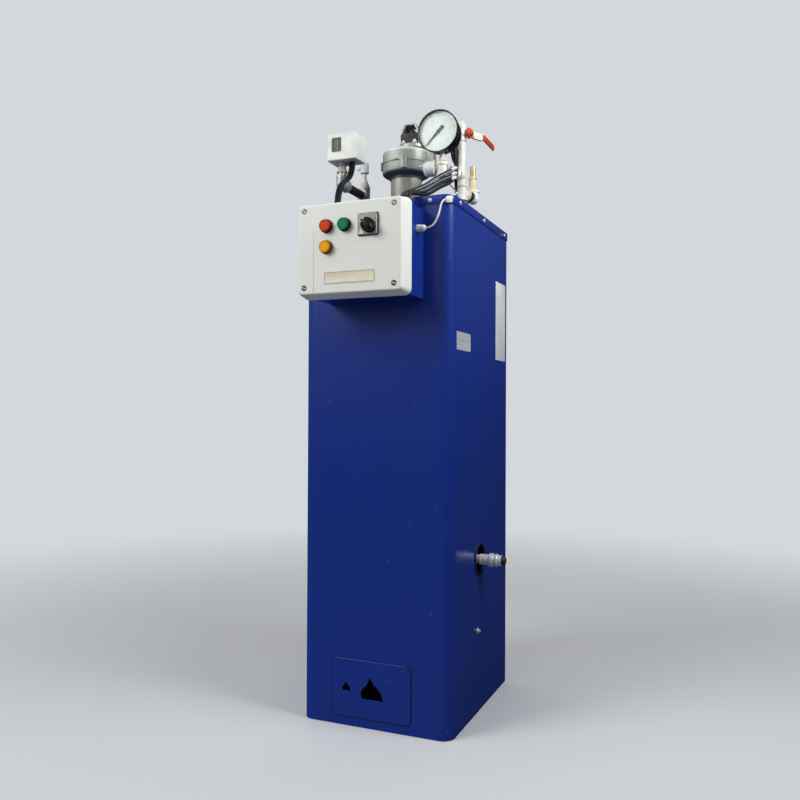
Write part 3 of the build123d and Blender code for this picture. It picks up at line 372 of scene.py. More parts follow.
def block(name, low, high):
    """A cube stretched between two corners (in mm), as the start of a piece."""
    low, high = Vector(low) * mm, Vector(high) * mm
    bpy.ops.mesh.primitive_cube_add(size=1, location=(low + high) / 2, scale=high - low)
    return settled(name)


def round_corners(piece, axis, radius, segments=5, wanted=lambda middle: True):
    """Rounds the edges of a block that run along an axis and whose middle passes the test."""
    def fits(edge):
        first, last = edge.verts[0].co, edge.verts[1].co
        along = abs((last - first).normalized().dot(Vector(axis))) > 0.99
        return along and wanted((first + last) / 2)

    edit(piece, "EDGE", fits)
    bpy.ops.mesh.bevel(offset=radius * mm, segments=segments, affect="EDGES")
    bpy.ops.object.mode_set(mode="OBJECT")
    return piece


def modified(piece, kind, **settings):
    """Applies one modifier with its settings."""
    only(piece)
    change = piece.modifiers.new("change", kind)
    for name, value in settings.items():
        setattr(change, name, value)
    bpy.ops.object.modifier_apply(modifier=change.name)
    return piece


def eased(piece, width, segments=2):
    """Breaks all sharp edges of a piece with a small rounding."""
    return modified(piece, "BEVEL", width=width * mm, segments=segments, limit_method="ANGLE",
                    angle_limit=math.radians(sharp_angle))


# Brushed aluminium foil plate: silver grey, with fine lines along its length.
plate_metal = mottled("brushed_aluminium_foil", "#d2d4de", "#b4b7c4", 14, (0.3, 0.5), 1.5, 0.03,
                      stretch=(1, 0.15, 3), Metallic=0.25)
# Coated label paper: white, faintly grey where it has been rubbed.
label_paper = mottled("coated_label_paper", "#e3e5e6", "#c9cdd2", 55, (0.45, 0.6), 4, 0.02)
data_plate = block("data_plate", (side_x - plate_sheet, *data_plate_low),
                   (side_x + plate_sheet, *data_plate_high))
round_corners(data_plate, right, 3)
edit(data_plate, "FACE", lambda face: face.normal.x > 0.9)
bpy.ops.mesh.inset(thickness=2 * mm, depth=-0.2 * mm)
bpy.ops.object.mode_set(mode="OBJECT")
finished(data_plate, plate_metal, "zinc_plate")
side_label = block("side_label", (side_x - label_sheet, *label_low), (side_x + label_sheet, *label_high))
finished(eased(round_corners(side_label, right, 2), 0.15), label_paper, "white_plastic")
side_stud = turned("side_stud", (side_x, *stud_place), right, [
    (-1, 7), (1.2, 7), (1.6, 6.4), (1.6, 3.2), (6.5, 3.2), (7, 2.6)], 24)
finished(side_stud, zinc, "zinc_plate")

# Lid: one sheet of steel with its flange turned down all round over the panels, its front corners rounded
# like theirs, in the same blue enamel and held by the screws above.
lid_flange, lid_sheet, lid_corner = 20, 2, 27
lid = block("lid_tray", (lid_low.x, lid_low.y, lid_high.z - lid_flange), lid_high)
round_corners(lid, up, lid_corner, 12, lambda middle: middle.y < 0)
edit(lid, "FACE", lambda face: face.normal.z < -0.9)
bpy.ops.mesh.inset(thickness=lid_sheet * mm, depth=0)
extrude((0, 0, (lid_flange - lid_sheet) * mm))
bpy.ops.object.mode_set(mode="OBJECT")
finished(eased(lid, 0.6), enamel, "blue_paint", hides="top_lid")

# Burner cover's edge: the cover is a flat sheet on the front panel. A dark line round it is painted
# shadow at its edge, and a paler strip along its upper edge is a painted highlight.
cover_low, cover_high = cad_box("burner_cover")
seam_width, cover_corner = 2.4, 10


def cut(piece, tool):
    """Cuts one piece's shape out of another."""
    modified(piece, "BOOLEAN", operation="DIFFERENCE", object=tool)
    bpy.data.objects.remove(tool)
    return piece


seam = block("cover_seam", cover_low - Vector((seam_width, -1.2, seam_width)),
             cover_high + Vector((seam_width, 0.4, seam_width)))
round_corners(seam, front, cover_corner + seam_width)
inside = block("inside", cover_low + Vector((0.3, -2, 0.3)), cover_high + Vector((-0.3, 2, -0.3)))
round_corners(inside, front, cover_corner)
# Painted shadow round the cover's edge: blue black and matt.
seam_shadow_paint = mottled("painted_seam_shadow", "#070d2b", "#0b1236", 10, (0.5, 0.7), 2, 0.05)
finished(cut(seam, inside), seam_shadow_paint, "black_plastic")
# Painted highlight along the cover's upper edge: a paler, less glossy blue enamel.
edge_highlight_paint = mottled("painted_edge_highlight", "#3a50a4", "#2c429a", 12, (0.3, 0.4), 3, 0.02)
lip = block("cover_lip", (cover_low.x + cover_corner, cover_low.y - 0.2, cover_high.z - 1.2),
            (cover_high.x - cover_corner, cover_high.y - 0.4, cover_high.z + 1.2))
finished(eased(lip, 0.6), edge_highlight_paint, "blue_paint")

# Control box: a two part moulded ABS enclosure on the steel housing, its lid held by four sunk corner screws
# turned in the corner towers. A blank printed plate is stuck along the foot of the lid.
face_y = cad_box("control_lid")[0].y
corner_screw_reach, top_screw_z, low_screw_z, corner_screw_radius = 106, 1154, 987.5, 6.1
name_plate_low, name_plate_high, name_plate_sheet = (-57, 994), (62, 1019), 1.2
mould_line_left, mould_line_right, mould_line_low, mould_line_high = -83.3, -82.5, 975, 1105
yellowing_size, spark_size = 120, 2
box_plastic, tree, place = new_finish("moulded_light_grey_abs")
# Injection moulded ABS: warm pale grey, satin with a fine spark texture, drawn at 2 mm so that it shows,
# slightly yellowed in broad patches.
drift = noise(tree, place, yellowing_size, 3)
surface(tree, Base_Color=blend(tree, drift, "#e9ede8", "#eff0e8"),
        Roughness=ramp(tree, drift, 0, 1, 0.36, 0.48),
        Normal=bump(tree, noise(tree, place, spark_size, 2), 0.03))
dress(box_plastic, "control_base", "control_lid")

# Grey nylon screw heads. The lower pair is given a darker copy of the nylon, painted shade in their sunk
# holes.
screw_nylon = mottled("grey_nylon", "#8a8d88", "#747772", 6, (0.4, 0.55), 1, 0.03)
painted_shade_nylon = mottled("painted_shade_nylon", "#3d403e", "#2c2f2e", 5, (0.5, 0.65), 1, 0.03)
# The low pair takes the darker copy of the nylon, which is painted shade.
for name, z, turn, finish in (("top_screws", top_screw_z, 38, screw_nylon),
                              ("low_screws", low_screw_z, 20, painted_shade_nylon)):
    head = turned(name, (0, 0, 0), front, [(reach, share * corner_screw_radius) for reach, share in (
        (-2, 1), (0.3, 1), (0.8, 0.9), (0.8, 0.82), (0.35, 0.78))], 28)
    slot = block("slot", (-5, -3, -1), (5, 0.6, 1))
    slot.data.transform(placed(0, 0, 0, turn, "Y"))
    screw_moves = [placed(x, face_y, z) for x in (-corner_screw_reach, corner_screw_reach)]
    finished(copies(cut(head, slot), screw_moves), finish, "grey_plastic")
# A faint line that the mould has left on the lid's face, from the red lamp down.
line_grey = mottled("shaded_abs", "#b3b8ae", "#a9aea4", 8, (0.45, 0.55), 2, 0.02)
witness = block("mould_line", (mould_line_left, face_y - 0.25, mould_line_low),
                (mould_line_right, face_y + 0.2, mould_line_high))
finished(eased(witness, 0.15), line_grey, "enclosure_plastic")

# Screen printed plate: cream lacquer with a thin brown border line round its edge.
plate_cream = mottled("cream_lacquered_plate", "#e6e0c6", "#dcd5ba", 30, (0.3, 0.42), 3, 0.01)
plate_border = mottled("brown_printed_border", "#8a7a5c", "#76684f", 20, (0.35, 0.45), 3, 0.01)
name_plate = block("name_plate", (name_plate_low[0], face_y - name_plate_sheet, name_plate_low[1]),
                   (name_plate_high[0], face_y + 0.5, name_plate_high[1]))
painted(round_corners(name_plate, front, 2), plate_cream)
name_plate.data.materials.append(plate_border)
edit(name_plate, "FACE", lambda face: face.normal.y < -0.9)
bpy.ops.mesh.inset(thickness=0.9 * mm, depth=0)
name_plate.active_material_index = 1
bpy.ops.mesh.inset(thickness=0.8 * mm, depth=-0.15 * mm, use_select_inset=True)
bpy.ops.object.material_slot_assign()
bpy.ops.object.mode_set(mode="OBJECT")
finished(name_plate, None, "enclosure_plastic")

# Lamps: three pilot lights through the lid, each one moulded cap of translucent polycarbonate on a collar,
# red and green side by side and amber below the red one.
lamp_profile = [(-1.0, 14.8), (3.9, 14.8), (4.6, 14.1), (4.8, 13.5), (9.8, 13.1), (11.2, 12.7), (12.0, 11.8),
                (12.1, 10.8), (11.7, 10.3), (11.7, 3.0), (11.8, 1.0)]


def middle(name):
    """The middle of a CAD node's box, in mm."""
    low, high = cad_box(name)
    return (low + high) / 2


def lamp_plastic(name, centre, face, rim, side):
    """Translucent polycarbonate: bright in the middle of the face and deeper at its rim, with painted shade
    down the side.
    """
    finish, tree, place = new_finish(name)
    arm = add_node(tree, "VectorMath", {0: place, 1: Vector(centre) * mm}, operation="SUBTRACT")["Vector"]
    arm = add_node(tree, "VectorMath", {0: arm, 1: (1, 0, 1)}, operation="MULTIPLY")["Vector"]
    radius = add_node(tree, "VectorMath", {0: arm}, operation="LENGTH")["Value"]
    tone = blend(tree, ramp(tree, radius, 7.5 * mm, 11.5 * mm), face, rim)
    depth = add_node(tree, "SeparateXYZ", {"Vector": place})["Y"]
    tone = blend(tree, ramp(tree, depth, (face_y - 11.6) * mm, (face_y - 8.5) * mm), tone, side)
    grain = noise(tree, place, 1.5, 1)
    surface(tree, Base_Color=tone, Roughness=ramp(tree, grain, 0, 1, 0.4, 0.52),
            Normal=bump(tree, grain, 0.03), Specular_IOR_Level=0.07)
    return finish


# The last colour of each lamp is painted shade down the side of its cap.
for name, slot, face, rim, side in (("red_lamp", "red_plastic", "#de4516", "#b54524", "#6b170c"),
                                    ("green_lamp", "green_plastic", "#08865e", "#126d50", "#07352a"),
                                    ("amber_lamp", "amber_plastic", "#ffb20a", "#d8992c", "#8a540c")):
    lamp_x, _, lamp_z = middle(name)
    centre = (lamp_x, face_y, lamp_z)
    cap = turned(name + "_cap", centre, front, lamp_profile)
    finished(cap, lamp_plastic("polycarbonate_" + name, centre, face, rim, side), slot, hides=name)

# Selector: a rotary cam switch. A grey printed face lies over a pale gasket and a black moulded back,
# and the black knob turns on the switch's square shaft in front of them.
plate_low, plate_high = cad_box("selector_plate")
knob_x, _, knob_z = middle("selector_plate")
plate_half = (plate_high.x - plate_low.x) / 2
knob_back, knob_depth = plate_low.y - 1.5, 15
# Laminated face: a fine grained grey print, over a pale core and a wider black phenolic back. The black back
# stands both for the switch's back and for the shadow beside the plate, a painted shadow.
face_print = mottled("grey_switch_print", "#9c9e99", "#adafaa", 3, (0.5, 0.62), 1.4, 0.04,
                     Specular_IOR_Level=0.2)
pale_core = mottled("pale_laminate_core", "#d3d5cf", "#c6c8c2", 6, (0.45, 0.55), 2, 0.02)
knob_black = mottled("black_phenolic", "#060607", "#0c0c0e", 10, (0.3, 0.42), 1.5, 0.02,
                     Specular_IOR_Level=0.22)
layers = []
# The black layer, wider all round, is partly painted shadow beside the plate.
for near, far, wider, finish in ((0, 1, -1, face_print), (0.9, 4.7, -1, pale_core),
                                 (4.6, 7.4, 1, knob_black)):
    reach = plate_half + wider
    layer = block("layer", (knob_x - reach, plate_low.y + near, knob_z - reach),
                  (knob_x + reach, plate_low.y + far, knob_z + reach))
    layers.append(painted(eased(round_corners(layer, front, 3), 0.5), finish))
finished(joined("selector_face", *layers), None, "grey_plastic", hides="selector_plate")


def strip(name, line, across, sheet):
    """A flat bar (in mm): an edge as long as the bar is wide, drawn out along its bends and thickened."""
    line, across = [Vector(point) * mm for point in line], Vector(across) * mm
    bpy.ops.mesh.primitive_plane_add(size=2)
    piece = settled(name)
    edit(piece, "VERT", lambda vert: vert.co.x > 0)
    bpy.ops.mesh.delete(type="VERT")
    for vert in bmesh.from_edit_mesh(piece.data).verts:
        vert.co = line[0] + across * vert.co.y / 2
    bmesh.update_edit_mesh(piece.data)
    bpy.ops.mesh.select_mode(type="EDGE")
    bpy.ops.mesh.select_all(action="SELECT")
    for point, following in zip(line, line[1:]):
        extrude(following - point)
    bpy.ops.object.mode_set(mode="OBJECT")
    modified(piece, "SOLIDIFY", thickness=sheet * mm, offset=0, use_even_offset=True)
    edit(piece, "FACE")
    close()
    return piece


# Egg shaped knob, modelled along X with its longer end away from the white hook of its pointer,
# and turned to the left stop.
knob_length, knob_width, knob_shift, knob_turn = 38, 29, 6, -45
knob_steps = ((3.8, 1, 1), (1.5, 0.98, 0.96), (0.8, 0.96, 0.92), (0.3, 0.96, 0.9), (0.4, 0.98, 0.9),
              (4.5, 0.96, 0.9), (2.2, 0.95, 0.88), (1, 0.95, 0.8), (0.5, 0.92, 0.6))
knob_base = Vector((knob_shift, knob_back, 0)) * mm
bpy.ops.mesh.primitive_circle_add(vertices=40, radius=knob_length / 2 * mm, fill_type="NGON",
                                  rotation=(math.radians(90), 0, 0), location=knob_base)
knob = settled("selector_handle")
edit(knob, "FACE")
bpy.ops.transform.resize(value=(1, 1, knob_width / knob_length), center_override=knob_base)
for rise, along, across in knob_steps:
    step = Vector((0, -rise * mm, 0))
    knob_base += step
    extrude(step)
    bpy.ops.transform.resize(value=(along, 1, across), center_override=knob_base)
close()
# White paint run into the mark: clean and half matt.
pointer_white = mottled("white_filled_mark", "#e8e8e2", "#d8d8d0", 4, (0.4, 0.5), 1, 0.01)
shaft = turned("shaft", (0, plate_low.y + 3, 0), front, [(0, 4), (6, 4)], 16)
hook = [(knob_shift - 0.3 * knob_length + 4.6 * math.cos(math.radians(angle)), knob_back - knob_depth + 0.8,
         4.2 * math.sin(math.radians(angle))) for angle in range(70, 300, 20)]
pointer = strip("pointer", hook, (0, 2.6, 0), 1.5)
knob = joined("selector_handle", painted(knob, knob_black), painted(shaft, knob_black),
              painted(pointer, pointer_white))
knob.data.transform(placed(knob_x, 0, knob_z, -knob_turn, "Y"))
finished(knob, None, "black_plastic", "selector_knob", hides="selector_knob")


def lettered(name, words, place, size, finish):
    """A printed number as a thin raised mesh that faces forward."""
    bpy.ops.object.text_add(location=Vector(place) * mm, rotation=(math.radians(90), 0, 0))
    mark = bpy.context.object
    mark.data.body = words
    mark.data.size = size * mm
    mark.data.extrude = 0.1 * mm
    mark.data.align_x, mark.data.align_y = "CENTER", "CENTER"
    bpy.ops.object.convert(target="MESH")
    return painted(settled(name), finish)


# Printed positions round the knob, 1, 0 and 2, and a plain white field in the corner below it.
mark_reach, mark_size, field_radius, field_left, field_drop = 18.7, 5.2, 7.5, 14, 17
marks = []
for number, turn in (("1", 135), ("0", 90), ("2", 45)):
    angle = math.radians(turn)
    place = (knob_x + mark_reach * math.cos(angle), plate_low.y - 0.05, knob_z + mark_reach * math.sin(angle))
    marks.append(lettered("mark_" + number, number, place, mark_size, pointer_white))
field = turned("field", (knob_x - field_left, plate_low.y, knob_z - field_drop), front,
               [(-0.1, field_radius), (0.1, field_radius)], 3)
marks.append(painted(field, pointer_white))
finished(joined("selector_marks", *marks), None, "white_plastic")

# Flue: a steel pipe stub that rises through the lid with a collar at its top, painted with heat proof grey,
# and browned in streaks by the heat.
flue_paint = mottled("heat_proof_grey_paint", "#b3b2a3", "#97948a", 26, (0.4, 0.58), 2.5, 0.06,
                     stretch=(1, 1, 0.25), Metallic=0.25)
dress(flue_paint, "flue_pipe")

# Fan casing: two pressure die cast aluminium shells, screwed together through four lugs on their split,
# with a chamfered shoulder above and a cone below that sits on the flue. The fan wheel is inside.
casing_low, casing_split = cad_box("fan_lower_casing")[0].z, cad_box("fan_upper_casing")[0].z
casing_top = cad_box("fan_upper_casing")[1].z
shell_split, shell_top = casing_split - 7, casing_top - 7
flue_low, flue_high = cad_box("flue_pipe")
fan_x, fan_y, _ = middle("flue_pipe")
casing_radius, cone_radius = 60, (flue_high.x - flue_low.x) / 2 + 4.5
lug_radius, lug_turn, lug_count, lug_reach = 6, 15, 4, 0.99 * casing_radius
casing_screw_radius, pocket_turns = 4.4, (-92, -10)
dust_size, pit_size = 38, 2.2
cast_aluminium, tree, place = new_finish("die_cast_aluminium")
# Die cast aluminium: dull grey with a greenish tarnish, a fine pitted skin, darker dust in broad patches,
# painted shade on the cone underneath and a painted highlight along the shoulder.
drift = noise(tree, place, dust_size, 5)
height = add_node(tree, "SeparateXYZ", {"Vector": place})["Z"]
# Painted shade darkens the cone below the split, and a painted highlight lightens the shoulder under the rim.
underside_painted_shade = ramp(tree, height, (shell_split - 27) * mm, (shell_split - 20) * mm, 0.85, 0)
shoulder_painted_highlight = ramp(tree, height, (shell_top - 8) * mm, (shell_top - 6.5) * mm)
tone = blend(tree, ramp(tree, drift, 0.35, 0.68), "#c3c6bc", "#a3a69c")
tone = blend(tree, shoulder_painted_highlight, blend(tree, underside_painted_shade, tone, "#23272c"), "#f0f2f0")
surface(tree, Base_Color=tone, Roughness=ramp(tree, drift, 0, 1, 0.4, 0.62), Metallic=0.35,
        Normal=bump(tree, noise(tree, place, pit_size, 3), 0.12))
# Heights in the profiles count from the casing's foot, the split or the rim, and radii from the outside.
lower_shell = turned("fan_lower_shell", (fan_x, fan_y, 0), up, [
    (casing_low + rise, cone_radius - inset) for rise, inset in ((12, 6), (12, 1.6), (15, 1.6), (17, 0))] + [
    (shell_split - drop, casing_radius - inset) for drop, inset in (
        (28, 8), (26, 3.5), (23.5, 0.8), (21, 0), (2, 0), (1.2, 1), (1.2, 2.4), (0, 2.4))], 96)
upper_shell = turned("fan_upper_shell", (fan_x, fan_y, 0), up, [
    (shell_split + rise, casing_radius - inset) for rise, inset in (
        (0, 2.4), (0.4, 2.4), (0.4, 1.2), (1.2, 0.4))] + [
    (shell_top - drop, casing_radius - inset) for drop, inset in ((6, 0.4), (4.6, 1), (1, 4.4), (0, 6.4))] + [
    (casing_top, casing_radius - 24), (casing_top, casing_radius - 30)], 96)
lug_profile = [(0, lug_radius - 1), (1, lug_radius), (8, lug_radius), (9, lug_radius - 1)]
lug_places = []
for number in range(lug_count):
    angle = math.radians(lug_turn + number * 360 / lug_count)
    lug_places.append((fan_x + lug_reach * math.cos(angle), fan_y + lug_reach * math.sin(angle)))
lug_moves = [placed(x, y, 0) for x, y in lug_places]
lower_lugs = copies(turned("lower_lugs", (0, 0, shell_split - 10), up, lug_profile, 24), lug_moves)
upper_lugs = copies(turned("upper_lugs", (0, 0, shell_split + 0.4), up, lug_profile, 24), lug_moves)
# A drain boss runs down the front below one lug, and the fan's short outlet ear looks to the right.
front_x, front_y = lug_places[-1]
drain_boss = turned("drain_boss", (front_x, front_y + 2, shell_split), (0, 0, -1), [
    (-9, 7), (-8, 8), (20, 8), (22, 6.6)], 24)
ear = block("outlet_ear", (fan_x + 0.8 * casing_radius, fan_y - 14, shell_split + 2),
            (fan_x + casing_radius + 15, fan_y + 18, shell_top - 6))
eased(round_corners(ear, up, 7), 2, 3)
lower_shell = joined("fan_lower_shell", lower_shell, lower_lugs, drain_boss)
upper_shell = joined("fan_upper_shell", upper_shell, upper_lugs, ear)
finished(lower_shell, cast_aluminium, "cast_aluminium", hides="fan_lower_casing")
finished(upper_shell, cast_aluminium, "cast_aluminium", hides="fan_upper_casing")
casing_screw = screw_head("casing_screws", casing_screw_radius)
casing_screw.data.transform(placed(0, 0, 0, -90, "Y"))
finished(copies(casing_screw, [placed(x, y, shell_split + 9.6) for x, y in lug_places]), zinc, "zinc_plate")
# Two screw pockets on the split, drawn as dark discs.
pockets = []
for turn in pocket_turns:
    way = Vector((math.cos(math.radians(turn)), math.sin(math.radians(turn)), 0))
    pockets.append(turned("pocket", Vector((fan_x, fan_y, shell_split + 1)) + way * casing_radius, way, [
        (-2, 3.4), (0.1, 3.4), (0.1, 2.6), (-1, 2.2)], 20))
finished(joined("split_pockets", *pockets), burner_iron, "black_steel")

# Fan motor: a shaded pole motor, a stack of dark oxidised steel laminations on a plated round flange,
# with a bent steel strap over its upper bearing and four nuts that hold the flange down.
core_low, core_high = cad_box("fan_motor")
strap_low, strap_high = cad_box("motor_frame")
flange_radius, flange_sheet, core_height = 32, 8, 27
motor_x, motor_y, _ = middle("fan_motor")
core_foot, core_head = strap_low.z + flange_sheet, strap_low.z + flange_sheet + core_height
lamination, lamination_pitch, lamination_count, core_corner = 1.1, 1.5, 17, 3
strap_sheet, strap_width, strap_top_length = 4, 38, 24
nut_places = ((-15, -24), (15, -24), (-15, 24), (15, 24))
# Blued electrical steel sheet: dark grey, dull, brownish at the edges.
blued_steel = mottled("blued_electrical_steel", "#303136", "#413e3b", 14, (0.4, 0.6), 1.5, 0.03, Metallic=0.5)
sheet = block("motor_laminations", (core_low.x, core_low.y, core_foot),
              (core_high.x, core_high.y, core_foot + lamination))
round_corners(sheet, up, core_corner)
modified(sheet, "ARRAY", count=lamination_count, use_relative_offset=False, use_constant_offset=True,
         constant_offset_displace=(0, 0, lamination_pitch * mm))
heart = block("heart", (core_low.x + 1, core_low.y + 1, core_foot),
              (core_high.x - 1, core_high.y - 1, core_head))
round_corners(heart, up, core_corner)
bearing = turned("bearing", (motor_x, motor_y, core_head - 1), up, [
    (0, 11), (3, 11), (4, 10), (5, 8), (12, 8), (13, 7)], 32)
finished(joined("motor_core", sheet, heart, bearing), blued_steel, "motor_core", hides="fan_motor")

flange = turned("motor_flange", (motor_x, motor_y, strap_low.z), up, [
    (rise, flange_radius - inset) for rise, inset in ((0, 0.6), (0.6, 0), (6.4, 0), (7.4, 1), (8, 2.4))], 64)
# The strap is bent from one flat: up one side of the core, sloping in, across the bearing and down again.
strap_half, strap_top_half = (core_high.x - core_low.x) / 2 + 2, strap_top_length / 2
strap_crown = strap_high.z - strap_sheet / 2
strap = strip("motor_strap", [(motor_x + x, motor_y, z) for x, z in (
    (-strap_half, core_foot - 1), (-strap_half, core_head), (-strap_top_half, strap_crown),
    (strap_top_half, strap_crown), (strap_half, core_head), (strap_half, core_foot - 1))],
    (0, strap_width, 0), strap_sheet)
eased(strap, 1, 3)
# Dull passivated sheet steel: mid grey, a little greasy.
strap_steel = mottled("dull_passivated_steel", "#b4babb", "#969c9e", 12, (0.35, 0.5), 1.5, 0.03, Metallic=0.4)
nut = turned("flange_nuts", (0, 0, core_foot), up, [(-0.5, 5.4), (0.6, 6), (5, 6), (5.8, 5.2)], 6)
stud = turned("stud", (0, 0, core_foot), up, [(2, 3), (8.4, 3), (9, 2.4)], 12)
nuts = copies(joined("flange_nuts", nut, stud), [placed(motor_x + x, motor_y + y, 0) for x, y in nut_places])
strap_frame = joined("motor_strap_frame", painted(flange, strap_steel), painted(strap, strap_steel),
                     painted(nuts, zinc))
finished(strap_frame, None, "zinc_plate", hides="motor_frame")

# Pressure gauge: a pressed steel case, stove enamelled black, with a white lacquered dial, a dark pointer
# and a flat glass behind a narrow rim. It stands on a hexagon shank screwed into the tee below.
case_low, case_high = cad_box("gauge_case")
gauge_radius = (case_high.x - case_low.x) / 2
gauge_x, gauge_z = (case_low.x + case_high.x) / 2, case_high.z - gauge_radius
dial_front, needle_front = cad_box("gauge_dial")[0].y, cad_box("gauge_needle")[0].y
tee_low, tee_high = cad_box("gauge_tee")
stem_y = (tee_low.y + tee_high.y) / 2
scale_start, scale_sweep, scale_steps = 225, 270, 50
scale_radius, number_radius, number_size = 42.5, 29.5, 8
# Stove enamel: black with a deep gloss, faintly brown where dust sits.
case_black = mottled("black_stove_enamel", "#0e0e0f", "#1d1a18", 30, (0.2, 0.34), 2.5, 0.02)
case = turned("gauge_body", (gauge_x, case_high.y, gauge_z), front, [
    (0, 36), (0.8, 42), (3, 45.2), (33.5, 45.4), (34.4, 46.4), (35.6, 49), (36.6, 49.8), (43.4, 50),
    (44.4, 49.7), (45, 48.8), (45, 48), (44.4, 47.4), (42, 47.2), (36.4, 47.2), (36.2, 46)], 96)
finished(case, case_black, "black_case", hides="gauge_case")
# Pipework paint: white alkyd brushed on thick over threads and fittings, lumpy, yellowed in patches.
pipe_white = mottled("brushed_white_alkyd", "#e9ebe6", "#d3d0bf", 22, (0.3, 0.5), 4, 0.35,
                     stretch=(1, 1, 0.6))
shank = turned("shank", (gauge_x, stem_y, tee_high.z), up, [(-3, 7), (2, 7), (2.6, 6), (18, 6), (24, 6)], 24)
shank_hex = turned("shank_hex", (gauge_x, stem_y, tee_high.z), up, [
    (4, 8.2), (4.8, 9.2), (12.4, 9.2), (13.2, 8.2)], 6)
finished(joined("gauge_shank", shank, shank_hex), pipe_white, "white_paint")
# Dial lacquer: even white, half matt. The print on it is a thin grey.
dial_lacquer = mottled("white_dial_lacquer", "#c5cbc7", "#bdc3be", 25, (0.45, 0.55), 3, 0.01)
dial_ink = mottled("grey_dial_print", "#979da1", "#a5abae", 6, (0.5, 0.6), 1, 0.005)
dress(dial_lacquer, "gauge_dial")
ticks = []
for step in range(scale_steps + 1):
    start, half = (35.5, 0.4) if step % 5 == 0 else (38.5, 0.22)
    tick = block("tick", (start, dial_front - 0.12, -half), (scale_radius, dial_front + 0.05, half))
    tick.data.transform(placed(gauge_x, 0, gauge_z, scale_sweep * step / scale_steps - scale_start, "Y"))
    ticks.append(painted(tick, dial_ink))
for number in range(0, 11, 2):
    angle = math.radians(scale_start - scale_sweep * number / 10)
    place = (gauge_x + number_radius * math.cos(angle), dial_front - 0.06,
             gauge_z + number_radius * math.sin(angle))
    ticks.append(lettered("number_" + str(number), str(number), place, number_size, dial_ink))
finished(joined("dial_marks", *ticks), None, "black_steel")
# Pointer: blackened aluminium sheet with a turned hub.
pointer_dark = mottled("blackened_aluminium", "#2b3037", "#363c44", 8, (0.4, 0.5), 1, 0.01, Metallic=0.3)
dress(pointer_dark, "gauge_needle")
hub = turned("needle_hub", (gauge_x, needle_front, gauge_z), front, [
    (-0.4, 4.2), (0.7, 4.2), (1.1, 3.8), (1.1, 2), (1.5, 1.7)], 24)
finished(hub, pointer_dark, "black_steel")
pane, tree, place = new_finish("float_glass")
# Window glass, 2 mm: clear, with a sharp reflection and a little dust. Lamp light passes straight through.
rough = ramp(tree, noise(tree, place, 12, 4), 0.5, 0.8, 0.01, 0.08)
glass = add_node(tree, "BsdfPrincipled", {"Base Color": linear("#fbfdfc"), "Roughness": rough, "IOR": 1.45,
                                          "Transmission Weight": 1})["BSDF"]
clear = add_node(tree, "BsdfTransparent", {})["BSDF"]
shadow = add_node(tree, "LightPath", {})["Is Shadow Ray"]
both = add_node(tree, "MixShader", {0: shadow, 1: glass, 2: clear})["Shader"]
add_node(tree, "OutputMaterial", {"Surface": both})
dress(pane, "gauge_glass")

# Gauge tee and plug: a threaded fitting painted white, with a bead at each end and a large domed moulded plug
# in its side branch. A nipple from the stand pipe carries it.
tee_radius, branch_lift, branch_radius = (tee_high.y - tee_low.y) / 2, 23, 11
tee = turned("gauge_tee_body", (gauge_x, stem_y, tee_low.z), up, [
    (rise, tee_radius - inset) for rise, inset in (
        (0, 1), (0.8, 0), (6, 0), (7.2, 0.8), (8, 2.2), (26, 2.2), (27, 0.8), (28, 0), (33.2, 0),
        (34, 1))], 40)
branch = turned("branch", (gauge_x, stem_y, tee_low.z + branch_lift), (-1, 0, 0), [
    (reach, branch_radius - inset) for reach, inset in ((0, 1), (10, 1), (11, 0), (15.4, 0), (16, 0.8))], 40)
finished(joined("gauge_tee_body", tee, branch), pipe_white, "white_paint", hides="gauge_tee")
# Moulded nylon: milky white, half matt.
white_nylon = mottled("moulded_white_nylon", "#eceee8", "#e0e2db", 20, (0.35, 0.48), 2, 0.03,
                      Subsurface_Weight=0.1, Subsurface_Radius=(2 * mm, 2 * mm, 2 * mm))
dress(white_nylon, "tee_plug")

# Stand pipe, tee, ball valve, elbow and vent: steam pipe and malleable fittings, all brushed over with
# white paint. The nipples between them are left bare and have rusted.
branch_turn = math.radians(9)
elbow_way = (math.sin(branch_turn), math.cos(branch_turn), 0)
outlet_low, outlet_high = cad_box("outlet_pipe")
outlet_x, outlet_y, _ = middle("outlet_pipe")
dress(pipe_white, "gauge_nipple", "stand_pipe", "stand_tee", "valve_body", "outlet_elbow", "vent_valve")
rust, tree, place = new_finish("rusted_steel_thread")
# Rusted steel: dark brown with paler patches, rough and scaly.
drift = noise(tree, place, 7, 5)
surface(tree, Base_Color=blend(tree, ramp(tree, drift, 0.4, 0.62), "#3a3335", "#5e4a42"), Metallic=0.2,
        Roughness=ramp(tree, drift, 0, 1, 0.55, 0.85), Normal=bump(tree, drift, 0.5))
dress(rust, "outlet_nipple", "switch_nipple")
# Black jointing paste, squeezed out round the nipple where it enters the elbow.
paste = turned("joint_paste", middle("outlet_nipple"), elbow_way, [
    (6.6, 10.8), (7.4, 13), (10.2, 14.2)], 40)
finished(paste, burner_iron, "rusty_steel")
# Olive primer under worn cream paint on the outlet pipe, and a dull brass nozzle on top of it.
worn_cream = mottled("worn_cream_paint", "#e0d8b4", "#c4b68a", 16, (0.4, 0.6), 3, 0.2, stretch=(1, 1, 0.5))
dull_brass = mottled("dull_brass", "#cdbf8c", "#b3a570", 12, (0.4, 0.55), 2, 0.05, Metallic=0.3)
outlet = turned("outlet_tube", (outlet_x, outlet_y, outlet_low.z), up, [
    (-1, 10), (28.6, 9.8), (29.2, 10.6), (33, 10.6), (34, 9.6)], 40)
nub = turned("nub", (outlet_x, outlet_y, outlet_high.z - 3), (0.92, -0.39, 0), [
    (8, 2.4), (13.4, 2.4), (14, 1.8)], 16)
finished(joined("outlet_tube", outlet, nub), worn_cream, "white_paint", hides="outlet_pipe")
dress(dull_brass, "outlet_nozzle")

